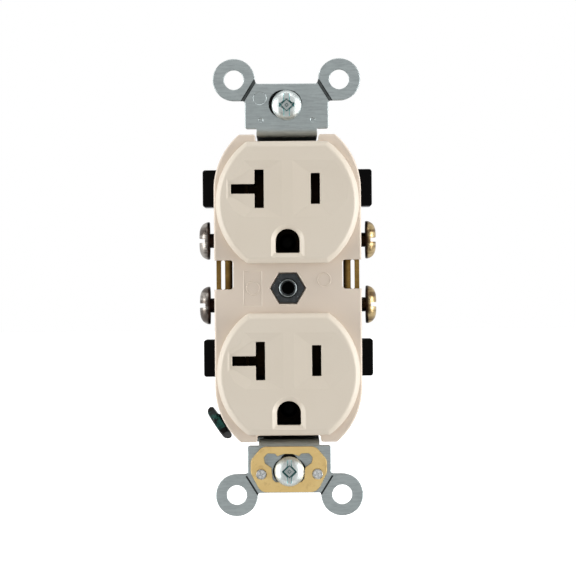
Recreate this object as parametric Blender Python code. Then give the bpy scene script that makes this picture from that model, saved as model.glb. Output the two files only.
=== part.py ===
"""Duplex wall outlet, 20 A, three-hole, with a self-grounding steel strap.

The model is in metres with +Z up along the device and +X to the right as seen by a person who
faces the wall. The front looks along -Y. The origin is midway between the two mounting screws, in
the plane of the strap's rear face, which is the plane of the wall. Dimensions below are in
millimetres.
"""
import math

import bmesh
import bpy
from mathutils import Matrix, Vector

MM = 0.001
GAP = 0.3                       # clearance between neighbouring pieces
PAST = 1.0                      # how far a cutter reaches beyond the face it opens

# Standard spacings
OUTLET_PITCH = 38.9             # centre to centre of the two outlets
BLADE_X = 6.35                  # blade slots either side of the centre line
BLADE_RISE = 3.05               # blade line above the outlet's centre
GROUND_DROP = 8.75              # ground hole's centre below the outlet's centre
MOUNT_Z = 41.67                 # mounting screws above and below the origin

# Depths along Y
STRAP_T = 1.3
PLATE_FRONT = -STRAP_T
COVER_FRONT = -4.2
FACE_FRONT = -7.6
COVER_BACK = 3.2
BODY_FRONT = COVER_BACK + GAP
BODY_BACK = 23.5
REAR_FRONT = BODY_BACK + GAP    # strap's rear bar
REAR_BACK = REAR_FRONT + STRAP_T

# Cover
COVER_HALF_W = 16.7
COVER_HALF_L = 34.93
CORNER_R = 16.45
CORNER_X = 0.25
CORNER_Z = 22.4
NOTCH_HALF_W = 7.2
NOTCH_END = 33.4
COVER_WALL = 1.7
FACE_HALF_H = 13.8
FACE_R = 16.97
FACE_OFFSET = 0.70
FACE_BEVEL = 1.0
SLOT_W = 2.1
HOT_SLOT_H = 7.0
NEUTRAL_SLOT_H = 8.7
NEUTRAL_BAR_H = 2.2
NEUTRAL_BAR_END = 12.75
GROUND_R = 2.7
GROUND_FLAT_DROP = 11.47
WINDOW_X = 12.4
WINDOW_LOW = -0.2
WINDOW_HIGH = 6.45
DISH_DEPTH = 0.3
DISH_RISE = 0.3                 # the dish cutter's height above the face
DISH_MIDDLE = 7.4
DISH_TOP_SIZE = 1.26            # dish outline at the cutter's top and at the dish's floor
DISH_FLOOR_SIZE = 0.74
COVER_EDGE = 0.4                # chamfer round the cover's front
POCKET_X = 8.0                  # hollows behind the middle of the cover
POCKET_HALF_W = 3.2
POCKET_HALF_H = 5.3
LEAD_IN_W = 1.2                 # chamfer of the ground hole, 0.2 mm above the face
LEAD_IN_DEPTH = 0.8
FACE_ROOT = 0.9                 # how far a face reaches into the cover

# Centre post
HEX_FLATS = 6.55
HEX_RECESS_FLATS = 7.15
HEX_T = 1.3
HEX_SINK = 0.1                  # head below the cover's front
COLLAR_R = 1.98
COLLAR_RISE = 0.35
TAIL_R = 3.7
TAIL_T = 1.0
POST_R = 2.5
POST_BORE_R = 1.375
POST_BORE_BACK = 14.0           # floor of the blind bore
POST_HOLE_R = 2.8

# Back body
BODY_INSET = 0.8
BODY_HALF_L = 34.0
TAB_OUT = 19.4
TAB_H = 8.5
TAB_RISE = 22.95 - OUTLET_PITCH / 2
TAB_BACK = 13.5
TAB_CHAMFER = 0.6
BODY_CHAMFER = 0.8
BODY_CHAMFER_END = 0.6
BODY_NOTCH = 0.3
BAY_IN = 8.7                    # terminal bays, open at the side
BAY_OUT = 22.0
BAY_MARGIN = 0.4
PASSAGE_OUT = 10.2              # passages from the bays to the blade chambers
UPPER_PASSAGE = (14.0, 19.5)
LOWER_PASSAGE = (-13.5, -7.0)
BLADE_CHAMBER_IN = 4.2
LINE_CHAMBER_OUT = 10.4
NEUTRAL_CHAMBER_OUT = 13.1
BLADE_CHAMBER_HALF = 4.6
GROUND_CHAMBER_HALF_W = 3.9
GROUND_CHAMBER_HALF_H = 3.6
GROUND_CHAMBER_BACK = 21.2
WIRE_HOLE_R = 1.35
WIRE_HOLE_X = 11.3
WIRE_HOLE_RISE = 2.4
RIVET_HOLE_R = 1.5
CORNER_SPACE = 0.5              # behind the ground screw's tab
CORNER_WELL_HALF = 2.6          # well for the ground screw's tip
CORNER_LOW = -12.0
CORNER_HIGH = 8.0

# Terminals
UPPER_TERMINAL_Z = 11.05
LOWER_TERMINAL_Z = -3.85
TERMINAL_Y = 8.3
LEG_T = 0.9
OUTER_LEG = 15.0                # outer face of the outer leg
INNER_LEG = 9.9                 # outer face of the inner leg
LEG_FRONT = 4.0
LEG_BACK = 12.6
LEG_HALF_H = 4.3
CONTACT_FLOOR = 13.6
CONTACT_TIP = 0.0
CONTACT_IN = 4.6
NEUTRAL_CONTACT_OUT = 12.6
CONTACT_HALF_H = 4.0
LEAF_T = 0.8
LEAF_GRIP = 0.85                # from the blade line to a leaf
LEAF_HALF_H = 3.7
CORNER_LEAF = (1.2, 3.9, 12.4)  # bar side, slot side and far end of the neutral corner leaves
ARM_FRONT = 6.5
GROUND_LEAF_IN = 2.45
GROUND_LEAF_HALF_H = 3.0
GROUND_LEAF_FRONT = 1.5
GROUND_FLOOR_HALF_H = 3.2
GROUND_FLOOR_BACK = 20.9
CLAMP_T = 1.15
CLAMP_HALF_H = 4.0
CLAMP_HOLE_R = 1.4
FIN_OUT = 16.4
FIN_IN = 12.7
FIN_SLOT = (14.42, 15.3)
FIN_SLOT_END = 0.7              # from the window's ends to the slot's
FIN_LAP = 0.6

# Screws
TERMINAL_HEAD_R = 4.35
TERMINAL_HEAD_X = 17.6          # inner plane of the head, screw fully open
THREAD_8_R = 2.08
MOUNT_HEAD_R = 3.4
THREAD_6_R = 1.75
MOUNT_SCREW_L = 19.05
TERMINAL_HEAD_T = 2.35
TERMINAL_PIN_R = 1.05
TERMINAL_PIN_HEAD_R = 1.7
SLOT_8_W = 1.1
SLOT_8_DEPTH = 1.2
GROUND_SLOT_DEPTH = 0.9
MOUNT_HEAD_T = 1.9
SLOT_6_W = 1.2
SLOT_6_DEPTH = 0.8
RECESS_R = 1.75
RECESS_FLOOR = 0.5
SLOT_LENGTH = 14.0
SLOT_REACH = 2.0
RETAINER_HALF_W = 4.5
RETAINER_HALF_H = 3.8
RETAINER_T = 0.8

# Strap
NECK_HALF_W = 6.92
WALL_IN = 34.5
WALL_OUT = WALL_IN + STRAP_T
FRONT_BEND = 0.5
REAR_BEND = 0.7
PLATE_HALF_W = 9.5
PLATE_LOW = 36.3
PLATE_SHOULDER = 42.5
PLATE_TOP = 46.6
PLATE_TOP_HALF = 6.95
EAR_X = 12.0
EAR_Z = 47.3
EAR_R = 4.8
EAR_HOLE_R = 2.335
MOUNT_SLOT_HALF = 3.75
MOUNT_SLOT_R = 2.9
GROOVE_LOW = 0.1                # scored line, from the plate's slanting edge outwards
GROOVE_HIGH = 0.8
GROOVE_DEPTH = 0.5
GROOVE_REACH = 0.5
PLATE_LAP = 2.0

# Ground screw and its tab
TAB_DIRECTION = Vector((-0.832, 0.0, -0.555)).normalized()
GROUND_SCREW_AT = (-15.34, 9.2, -30.54)     # centre of the head's inner plane
GROUND_HEAD_FLATS = 7.4
GROUND_HEAD_T = 1.9
GROUND_HEAD_TURN = -14.0        # degrees from the front to the middle of a flat
TAB_DROP = 2.4                  # from the head's inner plane to the tab's outer face
TAB_FRONT = 4.6
TAB_REAR = 13.8
TAB_HALF = 4.2

# Self-grounding clip and its rivets
CLIP_T = 0.45
CLIP_BACK = PLATE_FRONT - GAP
CLIP_HALF_W = 8.65
CLIP_TOP = -35.9
CLIP_BOTTOM = -46.4
RIVET_X = 6.4
RIVET_Z = -42.3
CLIP_RIVET_R = 0.8
CLIP_RIVET_HOLE_R = 1.1
CLIP_RIVET_HEAD_R = 1.25
CLIP_RIVET_HEAD_T = 0.5
CLIP_RIVET_TAIL_T = 0.4
GROUND_RIVET_R = 1.2
GROUND_RIVET_HEAD_R = 2.0
GROUND_RIVET_HEAD_T = 0.5
GROUND_RIVET_TAIL_T = 0.8
GROUND_RIVET_FRONT = 19.7

AXES = {"X": (1, 2, 0), "Y": (0, 2, 1)}


# ---------------------------------------------------------------- scene and materials

def clear_scene():
    for existing in list(bpy.data.objects):
        bpy.data.objects.remove(existing, do_unlink=True)


def material(name, colour, roughness, metallic=0.0):
    made = bpy.data.materials.new(name)
    made.use_nodes = True
    shader = made.node_tree.nodes["Principled BSDF"]
    shader.inputs["Base Color"].default_value = (*colour, 1.0)
    shader.inputs["Roughness"].default_value = roughness
    shader.inputs["Metallic"].default_value = metallic
    made.diffuse_color = (*colour, 1.0)
    return made


# ---------------------------------------------------------------- outlines, in millimetres

def arc(centre_u, centre_v, radius, start, end, steps):
    """Points along an arc from one angle to another, in degrees, both ends included."""
    points = []
    for index in range(steps + 1):
        angle = math.radians(start + (end - start) * index / steps)
        points.append((centre_u + radius * math.cos(angle), centre_v + radius * math.sin(angle)))
    return points


def circle(centre_u, centre_v, radius, steps=24):
    return arc(centre_u, centre_v, radius, 0.0, 360.0, steps)[:-1]


def box_outline(low_u, low_v, high_u, high_v):
    return [(low_u, low_v), (high_u, low_v), (high_u, high_v), (low_u, high_v)]


def mirrored_u(outline):
    return [(-u, v) for u, v in reversed(outline)]


def mirrored_v(outline):
    return [(u, -v) for u, v in reversed(outline)]


def case_outline(half_w, half_l, radius, notch_half, notch_end):
    """Long case with four rounded corners and a notch in the middle of each end."""
    side = math.degrees(math.acos(min(1.0, (half_w - CORNER_X) / radius)))
    top = math.degrees(math.asin((half_l - CORNER_Z) / radius))
    upper_right = arc(CORNER_X, CORNER_Z, radius, side, top, 7)
    upper_right += [(notch_half, half_l), (notch_half, notch_end)]
    upper = upper_right + mirrored_u(upper_right)
    return upper + [(-u, -v) for u, v in upper]


def face_outline(centre_z, inset):
    """Outlet face: two long arcs cut off flat above and below."""
    radius = FACE_R - inset
    half = math.degrees(math.asin((FACE_HALF_H - inset) / radius))
    right = arc(-FACE_OFFSET, centre_z, radius, -half, half, 12)
    left = arc(FACE_OFFSET, centre_z, radius, 180.0 - half, 180.0 + half, 12)
    return right + left


def ground_outline(centre_z, grow):
    """Ground hole: half a circle above, a flat below."""
    outline = arc(0.0, centre_z - GROUND_DROP, GROUND_R + grow, 0.0, 180.0, 10)
    low = centre_z - GROUND_FLAT_DROP - grow
    return outline + [(-GROUND_R - grow, low), (GROUND_R + grow, low)]


def hexagon(flats):
    radius = flats / math.sqrt(3.0)
    return circle(0.0, 0.0, radius, 6)


def dish_outline(side, blade_z, size):
    """Eight-cornered dish around a blade slot; size 1 is its rim and 0 its middle."""
    corners = [
        (1.2, -4.4), (3.0, -6.4), (9.7, -6.4), (13.7, -2.3),
        (13.7, 2.3), (10.6, 6.4), (3.0, 6.4), (1.2, 4.4),
    ]
    scaled = [
        (side * (DISH_MIDDLE + (x - DISH_MIDDLE) * size), blade_z + z * size) for x, z in corners
    ]
    return scaled if side > 0 else scaled[::-1]


# ---------------------------------------------------------------- solids

def finish_object(name, mesh_builder, origin, colour):
    """Closes the mesh into an object whose origin is the given point, in millimetres."""
    anchor = Vector(origin) * MM
    bmesh.ops.translate(mesh_builder, verts=mesh_builder.verts[:], vec=-anchor)
    bmesh.ops.recalc_face_normals(mesh_builder, faces=mesh_builder.faces[:])
    mesh = bpy.data.meshes.new(name)
    mesh_builder.to_mesh(mesh)
    mesh_builder.free()
    made = bpy.data.objects.new(name, mesh)
    made.location = anchor
    bpy.context.collection.objects.link(made)
    if colour is not None:
        mesh.materials.append(colour)
    mesh.shade_smooth()
    mesh.set_sharp_from_angle(angle=math.radians(30.0))
    return made


def add_loft(builder, axis, sections):
    """Joins outlines of equal length, each at its own level along an axis, and caps both ends."""
    first, second, along = AXES[axis]
    rings = []
    for level, outline in sections:
        ring = []
        for u, v in outline:
            point = Vector((0.0, 0.0, 0.0))
            point[first] = u * MM
            point[second] = v * MM
            point[along] = level * MM
            ring.append(builder.verts.new(point))
        rings.append(ring)
    for near, far in zip(rings, rings[1:]):
        for index in range(len(near)):
            after = (index + 1) % len(near)
            builder.faces.new((near[index], near[after], far[after], far[index]))
    builder.faces.new(rings[0])
    builder.faces.new(rings[-1])


def loft(name, axis, sections, colour, origin=(0.0, 0.0, 0.0)):
    builder = bmesh.new()
    add_loft(builder, axis, sections)
    return finish_object(name, builder, origin, colour)


def prism(name, axis, outline, low, high, colour, origin=(0.0, 0.0, 0.0)):
    return loft(name, axis, [(low, outline), (high, outline)], colour, origin)


def turned(name, profile, base, direction, colour, steps=20):
    """Turns a profile of (height, radius) pairs about an axis that starts at base."""
    sections = [(height, circle(0.0, 0.0, radius, steps)) for height, radius in profile]
    return stacked(name, sections, base, direction, colour)


def stacked(name, sections, base, direction, colour):
    """Joins outlines of equal length along an axis that starts at base."""
    builder = bmesh.new()
    turn = Vector((0.0, 0.0, 1.0)).rotation_difference(Vector(direction)).to_matrix().to_4x4()
    place = Matrix.Translation(Vector(base) * MM) @ turn
    rings = []
    for height, outline in sections:
        ring = [
            builder.verts.new(place @ Vector((u * MM, v * MM, height * MM)))
            for u, v in outline
        ]
        rings.append(ring)
    for near, far in zip(rings, rings[1:]):
        for index in range(len(near)):
            after = (index + 1) % len(near)
            builder.faces.new((near[index], near[after], far[after], far[index]))
    builder.faces.new(rings[0])
    builder.faces.new(rings[-1])
    return finish_object(name, builder, base, colour)


def as_tool(tool):
    tool.hide_render = True
    tool.display_type = "WIRE"
    return tool


def boolean(target, tool, operation):
    modifier = target.modifiers.new(tool.name, "BOOLEAN")
    modifier.operation = operation
    modifier.solver = "EXACT"
    modifier.object = as_tool(tool)


def cut(target, tool):
    boolean(target, tool, "DIFFERENCE")


def fuse(target, tool):
    boolean(target, tool, "UNION")


def cut_prisms(target, label, axis, pieces):
    """Cuts several prisms that don't touch each other, each (outline, low, high), as one tool."""
    builder = bmesh.new()
    for outline, low, high in pieces:
        add_loft(builder, axis, [(low, outline), (high, outline)])
    cut(target, finish_object("cut_" + label, builder, (0.0, 0.0, 0.0), None))


def fuse_prism(target, label, axis, outline, low, high):
    fuse(target, prism("add_" + label, axis, outline, low, high, None))


# ---------------------------------------------------------------- plastic case

def outlets():
    """Name, centre height and the heights of the blade line, ground hole and terminal."""
    rows = []
    for name, side, terminal in (
        ("upper", 1, UPPER_TERMINAL_Z),
        ("lower", -1, LOWER_TERMINAL_Z),
    ):
        centre = side * OUTLET_PITCH / 2
        rows.append((name, centre, centre + BLADE_RISE, centre - GROUND_DROP, terminal))
    return rows


def span(side, low, high):
    """Both limits on one side of the middle, the lower first."""
    return tuple(sorted((side * low, side * high)))


def side_box(side, low_u, low_v, high_u, high_v):
    low, high = span(side, low_u, high_u)
    return box_outline(low, low_v, high, high_v)


def cover_outline(inset):
    return case_outline(
        COVER_HALF_W - inset, COVER_HALF_L - inset, CORNER_R - inset,
        NOTCH_HALF_W + inset, NOTCH_END - inset,
    )


def neutral_slot_outline(blade_z):
    """A letter T on its side, with its stem pointing left."""
    right = -BLADE_X + SLOT_W / 2
    left = -BLADE_X - SLOT_W / 2
    high = NEUTRAL_SLOT_H / 2
    bar = NEUTRAL_BAR_H / 2
    points = [
        (right, -high), (right, high), (left, high), (left, bar),
        (-NEUTRAL_BAR_END, bar), (-NEUTRAL_BAR_END, -bar), (left, -bar), (left, -high),
    ]
    return [(x, blade_z + z) for x, z in points]


def face_cover(colour):
    """Moulded front cover: a shell with two raised outlet faces."""
    cover = loft("face_cover", "Y", [
        (COVER_BACK, cover_outline(0.0)),
        (COVER_FRONT + COVER_EDGE, cover_outline(0.0)),
        (COVER_FRONT, cover_outline(COVER_EDGE)),
    ], colour)
    hollows = []
    slots = []
    for name, centre, blade_z, _, _ in outlets():
        fuse(cover, loft("add_face_" + name, "Y", [
            (COVER_FRONT + FACE_ROOT, face_outline(centre, 0.0)),
            (FACE_FRONT + 0.9 * FACE_BEVEL, face_outline(centre, 0.0)),
            (FACE_FRONT + 0.3 * FACE_BEVEL, face_outline(centre, 0.3 * FACE_BEVEL)),
            (FACE_FRONT, face_outline(centre, FACE_BEVEL)),
        ], None))
        hollows.append((face_outline(centre, COVER_WALL), FACE_FRONT + COVER_WALL, COVER_BACK + PAST))
        hot = box_outline(
            BLADE_X - SLOT_W / 2, blade_z - HOT_SLOT_H / 2,
            BLADE_X + SLOT_W / 2, blade_z + HOT_SLOT_H / 2,
        )
        for outline in (hot, neutral_slot_outline(blade_z), ground_outline(centre, 0.0)):
            slots.append((outline, FACE_FRONT - PAST, FACE_FRONT + COVER_WALL + PAST / 2))
    for side in (-1, 1):
        pocket = side_box(
            side, POCKET_X - POCKET_HALF_W, -POCKET_HALF_H, POCKET_X + POCKET_HALF_W, POCKET_HALF_H)
        hollows.append((pocket, COVER_FRONT + COVER_WALL, COVER_BACK + PAST))
    cut_prisms(cover, "cover_hollows", "Y", hollows)
    for name, centre, blade_z, _, _ in outlets():
        for side, label in ((-1, "_left"), (1, "_right")):
            cut(cover, loft("cut_dish_" + name + label, "Y", [
                (FACE_FRONT - DISH_RISE, dish_outline(side, blade_z, DISH_TOP_SIZE)),
                (FACE_FRONT + DISH_DEPTH, dish_outline(side, blade_z, DISH_FLOOR_SIZE)),
            ], None))
        cut(cover, loft("cut_lead_in_" + name, "Y", [
            (FACE_FRONT - 0.2, ground_outline(centre, LEAD_IN_W)),
            (FACE_FRONT + LEAD_IN_DEPTH, ground_outline(centre, LEAD_IN_W - 1.0)),
        ], None))
    cut_prisms(cover, "cover_slots", "Y", slots)
    cut_prisms(cover, "cover_windows", "Y", [
        (
            side_box(side, WINDOW_X, WINDOW_LOW, WINDOW_X + 6.0, WINDOW_HIGH),
            COVER_FRONT - PAST, COVER_BACK + PAST,
        )
        for side in (-1, 1)
    ])
    cut_prisms(cover, "hex_recess", "Y", [
        (hexagon(HEX_RECESS_FLATS), COVER_FRONT - PAST, COVER_FRONT + HEX_SINK + HEX_T + GAP),
    ])
    cut_prisms(cover, "cover_bore", "Y", [
        (circle(0.0, 0.0, POST_HOLE_R, 20), COVER_FRONT + PAST / 2, COVER_BACK + PAST),
    ])
    return cover


def body_outline(inset, end_inset):
    return case_outline(
        COVER_HALF_W - BODY_INSET - inset, BODY_HALF_L - end_inset, CORNER_R - BODY_INSET - inset,
        NOTCH_HALF_W, BODY_HALF_L - end_inset - BODY_NOTCH,
    )


def side_tab_outline(middle):
    """Both side tabs of an outlet, with chamfered corners."""
    half = TAB_H / 2
    right = [
        (TAB_OUT - TAB_CHAMFER, middle - half), (TAB_OUT, middle - half + TAB_CHAMFER),
        (TAB_OUT, middle + half - TAB_CHAMFER), (TAB_OUT - TAB_CHAMFER, middle + half),
    ]
    return right + mirrored_u(right)


def back_body(colour):
    """Black rear half with a chamber for every contact, open towards the cover."""
    body = loft("back_body", "Y", [
        (BODY_FRONT, body_outline(0.0, 0.0)),
        (BODY_BACK - BODY_CHAMFER, body_outline(0.0, 0.0)),
        (BODY_BACK, body_outline(BODY_CHAMFER, BODY_CHAMFER_END)),
    ], colour)
    chambers = []
    wire_holes = []
    through = [(circle(0.0, 0.0, POST_HOLE_R, 20), BODY_FRONT - PAST, BODY_BACK + PAST)]
    contact_back = CONTACT_FLOOR + GAP
    for name, centre, blade_z, ground_z, terminal in outlets():
        tab = side_tab_outline(centre + TAB_RISE)
        fuse_prism(body, "side_tabs_" + name, "Y", tab, BODY_FRONT, TAB_BACK)
        shape = box_outline(
            -GROUND_CHAMBER_HALF_W, ground_z - GROUND_CHAMBER_HALF_H,
            GROUND_CHAMBER_HALF_W, ground_z + GROUND_CHAMBER_HALF_H,
        )
        chambers.append((shape, BODY_FRONT - PAST, GROUND_CHAMBER_BACK))
        for side, out in ((1, LINE_CHAMBER_OUT), (-1, NEUTRAL_CHAMBER_OUT)):
            shape = side_box(
                side, BLADE_CHAMBER_IN, blade_z - BLADE_CHAMBER_HALF, out, blade_z + BLADE_CHAMBER_HALF)
            chambers.append((shape, BODY_FRONT - PAST, contact_back))
            for offset in (-WIRE_HOLE_RISE, WIRE_HOLE_RISE):
                shape = circle(side * WIRE_HOLE_X, terminal + offset, WIRE_HOLE_R, 12)
                wire_holes.append((shape, CONTACT_FLOOR - 2.0 * PAST, BODY_BACK + PAST))
        through.append((circle(0.0, ground_z, RIVET_HOLE_R, 12), BODY_BACK - 3.5 * PAST, BODY_BACK + PAST))
    cut_prisms(body, "chambers", "Y", chambers)
    bay_low = LOWER_TERMINAL_Z - LEG_HALF_H - BAY_MARGIN
    bay_high = UPPER_TERMINAL_Z + LEG_HALF_H + BAY_MARGIN
    for side, label in ((-1, "left"), (1, "right")):
        bay = side_box(side, BAY_IN, bay_low, BAY_OUT, bay_high)
        cut_prisms(body, "terminals_" + label, "Y", [(bay, BODY_FRONT - PAST, contact_back)])
        notch = side_box(side, WINDOW_X - 0.2, WINDOW_LOW - GAP, BAY_OUT, WINDOW_HIGH + GAP)
        cut_prisms(body, "side_notch_" + label, "Y", [(notch, BODY_FRONT - PAST, BODY_BACK + PAST)])
        cut_prisms(body, "passages_" + label, "Y", [
            (side_box(side, BAY_IN, low, PASSAGE_OUT, high), BODY_FRONT - PAST, contact_back)
            for low, high in (UPPER_PASSAGE, LOWER_PASSAGE)
        ])
    cut_prisms(body, "wire_holes", "Y", wire_holes)
    cut_prisms(body, "rivet_holes", "Y", through)
    cut_prisms(body, "ground_corner", "Y", [
        (ground_corner_outline(), BODY_FRONT - PAST, TAB_REAR + 2.0 * GAP)])
    return body


def tab_point(across, along):
    """A point of the XZ plane, along the ground screw's axis and across it."""
    direction = (TAB_DIRECTION.x, TAB_DIRECTION.z)
    return (
        GROUND_SCREW_AT[0] + direction[0] * along + direction[1] * across,
        GROUND_SCREW_AT[2] + direction[1] * along - direction[0] * across,
    )


def ground_corner_outline():
    """The lower left corner of the body, cut away for the ground screw and its tab."""
    inner = -TAB_DROP - STRAP_T - CORNER_SPACE
    well = inner - CORNER_WELL_HALF
    return [
        tab_point(CORNER_LOW, inner), tab_point(-CORNER_WELL_HALF, inner),
        tab_point(-CORNER_WELL_HALF, well), tab_point(CORNER_WELL_HALF, well),
        tab_point(CORNER_WELL_HALF, inner), tab_point(CORNER_HIGH, inner),
        tab_point(CORNER_HIGH, CORNER_HIGH), tab_point(CORNER_LOW, CORNER_HIGH),
    ]


# ---------------------------------------------------------------- steel strap

def strap_profile():
    """Side view of the bent strip, as (y, z): front and inner faces, then outer faces back."""
    rear_y = REAR_FRONT - REAR_BEND
    rear_z = WALL_IN - REAR_BEND
    upper_inner = [(PLATE_FRONT, PLATE_LOW + PLATE_LAP)]
    upper_inner += arc(FRONT_BEND, PLATE_LOW, FRONT_BEND + STRAP_T, 180.0, 270.0, 5)
    upper_inner += arc(rear_y, rear_z, REAR_BEND, 90.0, 0.0, 3)
    upper_outer = [(0.0, PLATE_LOW + PLATE_LAP)]
    upper_outer += arc(FRONT_BEND, PLATE_LOW, FRONT_BEND, 180.0, 270.0, 3)
    upper_outer += arc(rear_y, rear_z, REAR_BEND + STRAP_T, 90.0, 0.0, 5)
    inner = upper_inner + mirrored_v(upper_inner)
    outer = upper_outer + mirrored_v(upper_outer)
    return inner + outer[::-1]


def plate_outline():
    """Upper strap plate with its two round ears, as (x, z)."""
    right = [
        (PLATE_HALF_W, PLATE_LOW), (PLATE_HALF_W, PLATE_SHOULDER), (EAR_X, EAR_Z - EAR_R),
    ]
    right += arc(EAR_X, EAR_Z, EAR_R, -80.0, 180.0, 26)
    right += [(PLATE_TOP_HALF, PLATE_TOP)]
    return right + mirrored_u(right)


def groove_outline():
    """Scored line where an upper ear breaks off, along the plate's slanting edge."""
    start = Vector((PLATE_HALF_W, PLATE_SHOULDER))
    end = Vector((PLATE_TOP_HALF, PLATE_TOP))
    along = (end - start).normalized()
    outward = Vector((along.y, -along.x))
    start = start - along * GROOVE_REACH
    end = end + along * GROOVE_REACH
    corners = [
        start + outward * GROOVE_LOW, start + outward * GROOVE_HIGH,
        end + outward * GROOVE_HIGH, end + outward * GROOVE_LOW,
    ]
    return [(corner.x, corner.y) for corner in corners]


def stadium(half_length, radius, centre_z):
    reach = half_length - radius
    right = arc(reach, centre_z, radius, -90.0, 90.0, 8)
    return right + arc(-reach, centre_z, radius, 90.0, 270.0, 8)


def mounting_strap(colour):
    """Galvanised strap: two plates with ears, joined by a bar that wraps round the back."""
    strap = prism("mounting_strap", "X", strap_profile(), -NECK_HALF_W, NECK_HALF_W, colour)
    fuse_prism(strap, "upper_plate", "Y", plate_outline(), PLATE_FRONT, 0.0)
    fuse_prism(strap, "lower_plate", "Y", mirrored_v(plate_outline()), PLATE_FRONT, 0.0)
    fuse_prism(strap, "ground_tab", "Y", ground_tab_outline(), TAB_FRONT, TAB_REAR)
    holes = []
    grooves = []
    front = PLATE_FRONT - PAST
    for flip in (1, -1):
        for side in (1, -1):
            ear_hole = circle(side * EAR_X, flip * EAR_Z, EAR_HOLE_R, 24)
            holes.append((ear_hole, front, PAST))
            outline = groove_outline()
            if side < 0:
                outline = mirrored_u(outline)
            if flip < 0:
                outline = mirrored_v(outline)
            grooves.append((outline, front, PLATE_FRONT + GROOVE_DEPTH))
        holes.append((stadium(MOUNT_SLOT_HALF, MOUNT_SLOT_R, flip * MOUNT_Z), front, PAST))
    for side in (1, -1):
        holes.append((circle(side * RIVET_X, RIVET_Z, CLIP_RIVET_HOLE_R, 12), front, PAST))
    bar_front = REAR_FRONT - PAST
    bar_back = REAR_BACK + PAST
    holes.append((circle(0.0, 0.0, POST_HOLE_R, 20), bar_front, bar_back))
    for _, _, _, ground_z, _ in outlets():
        holes.append((circle(0.0, ground_z, RIVET_HOLE_R, 12), bar_front, bar_back))
    cut_prisms(strap, "strap_holes", "Y", holes)
    cut_prisms(strap, "ear_grooves", "Y", grooves)
    clearance = THREAD_8_R + GAP
    cut(strap, turned(
        "cut_ground_thread", [(-8.0, clearance), (-0.5, clearance)],
        GROUND_SCREW_AT, TAB_DIRECTION, None, 16))
    return strap


def ground_tab_outline():
    """The tab's section: it leaves the lower wall and turns up along the case's corner."""
    outer = -TAB_DROP
    inner = -TAB_DROP - STRAP_T
    outer_low = tab_point_at_height(outer, -WALL_OUT)
    inner_low = tab_point_at_height(inner, -WALL_IN)
    return [
        (-NECK_HALF_W + PAST, -WALL_IN), inner_low, tab_point(TAB_HALF, inner),
        tab_point(TAB_HALF, outer), outer_low, (-NECK_HALF_W + PAST, -WALL_OUT),
    ]


def tab_point_at_height(along, height):
    """Where a face of the tab meets a height."""
    start = Vector(tab_point(0.0, along))
    ahead = Vector(tab_point(1.0, along)) - start
    return tuple(start + ahead * ((height - start.y) / ahead.y))


# ---------------------------------------------------------------- brass

def bus(name, side, colour):
    """One pole: two screw terminals and two blade contacts, joined by a break-off fin."""
    web_back = LEG_FRONT + LEG_T
    fin = side_box(side, FIN_IN, WINDOW_LOW - FIN_LAP, FIN_OUT, WINDOW_HIGH + FIN_LAP)
    body = prism(name, "Y", fin, LEG_FRONT, web_back, colour)
    contact_out = NEUTRAL_CONTACT_OUT if side < 0 else INNER_LEG
    for row, centre, blade_z, _, terminal in outlets():
        label = name + "_" + row + "_"
        low = terminal - LEG_HALF_H
        high = terminal + LEG_HALF_H
        web = side_box(side, INNER_LEG - LEG_T, low, OUTER_LEG, high)
        fuse_prism(body, label + "web", "Y", web, LEG_FRONT, web_back)
        for number, outer in enumerate((OUTER_LEG, INNER_LEG)):
            leg = side_box(side, outer - LEG_T, low, outer, high)
            fuse_prism(body, label + "leg" + str(number), "Y", leg, LEG_FRONT, LEG_BACK)
        far = blade_z + CONTACT_HALF_H if centre > 0 else blade_z - CONTACT_HALF_H
        arm = side_box(side, INNER_LEG - LEG_T, min(terminal, far), INNER_LEG, max(terminal, far))
        fuse_prism(body, label + "arm", "Y", arm, ARM_FRONT, CONTACT_FLOOR)
        floor = side_box(
            side, CONTACT_IN, blade_z - CONTACT_HALF_H, contact_out, blade_z + CONTACT_HALF_H)
        fuse_prism(body, label + "floor", "Y", floor, CONTACT_FLOOR - LEG_T, CONTACT_FLOOR)
        for number, leaf in enumerate(contact_leaves(side, blade_z)):
            fuse_prism(body, label + "leaf" + str(number), "Y", leaf, CONTACT_TIP, CONTACT_FLOOR)
        clearance = THREAD_8_R + GAP
        cut(body, turned(
            "cut_" + label + "hole", [(-PAST, clearance), (8.0, clearance)],
            (side * OUTER_LEG, TERMINAL_Y, terminal), (-side, 0.0, 0.0), None, 16))
    slot = side_box(
        side, FIN_SLOT[0], WINDOW_LOW + FIN_SLOT_END, FIN_SLOT[1], WINDOW_HIGH - FIN_SLOT_END)
    cut_prisms(body, name + "_fin_slot", "Y", [(slot, LEG_FRONT - PAST, web_back + PAST)])
    return body


def contact_leaves(side, blade_z):
    """Sections of the leaves that wipe a blade, as (x, z) outlines."""
    low = blade_z - LEAF_HALF_H
    high = blade_z + LEAF_HALF_H
    inner = BLADE_X - LEAF_GRIP
    near = BLADE_X + LEAF_GRIP
    leaves = [side_box(side, inner - LEAF_T, low, inner, high)]
    if side > 0:
        leaves.append(side_box(side, near, low, near + LEAF_T, high))
        return leaves
    bar_side, slot_side, far = CORNER_LEAF
    for flip in (1, -1):
        corner = [
            (-near, flip * bar_side), (-near, flip * slot_side), (-near - LEAF_T, flip * slot_side),
            (-near - LEAF_T, flip * (bar_side + LEAF_T)), (-far, flip * (bar_side + LEAF_T)),
            (-far, flip * bar_side),
        ]
        outline = [(x, blade_z + z) for x, z in corner]
        leaves.append(outline if flip > 0 else outline[::-1])
    return leaves


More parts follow.
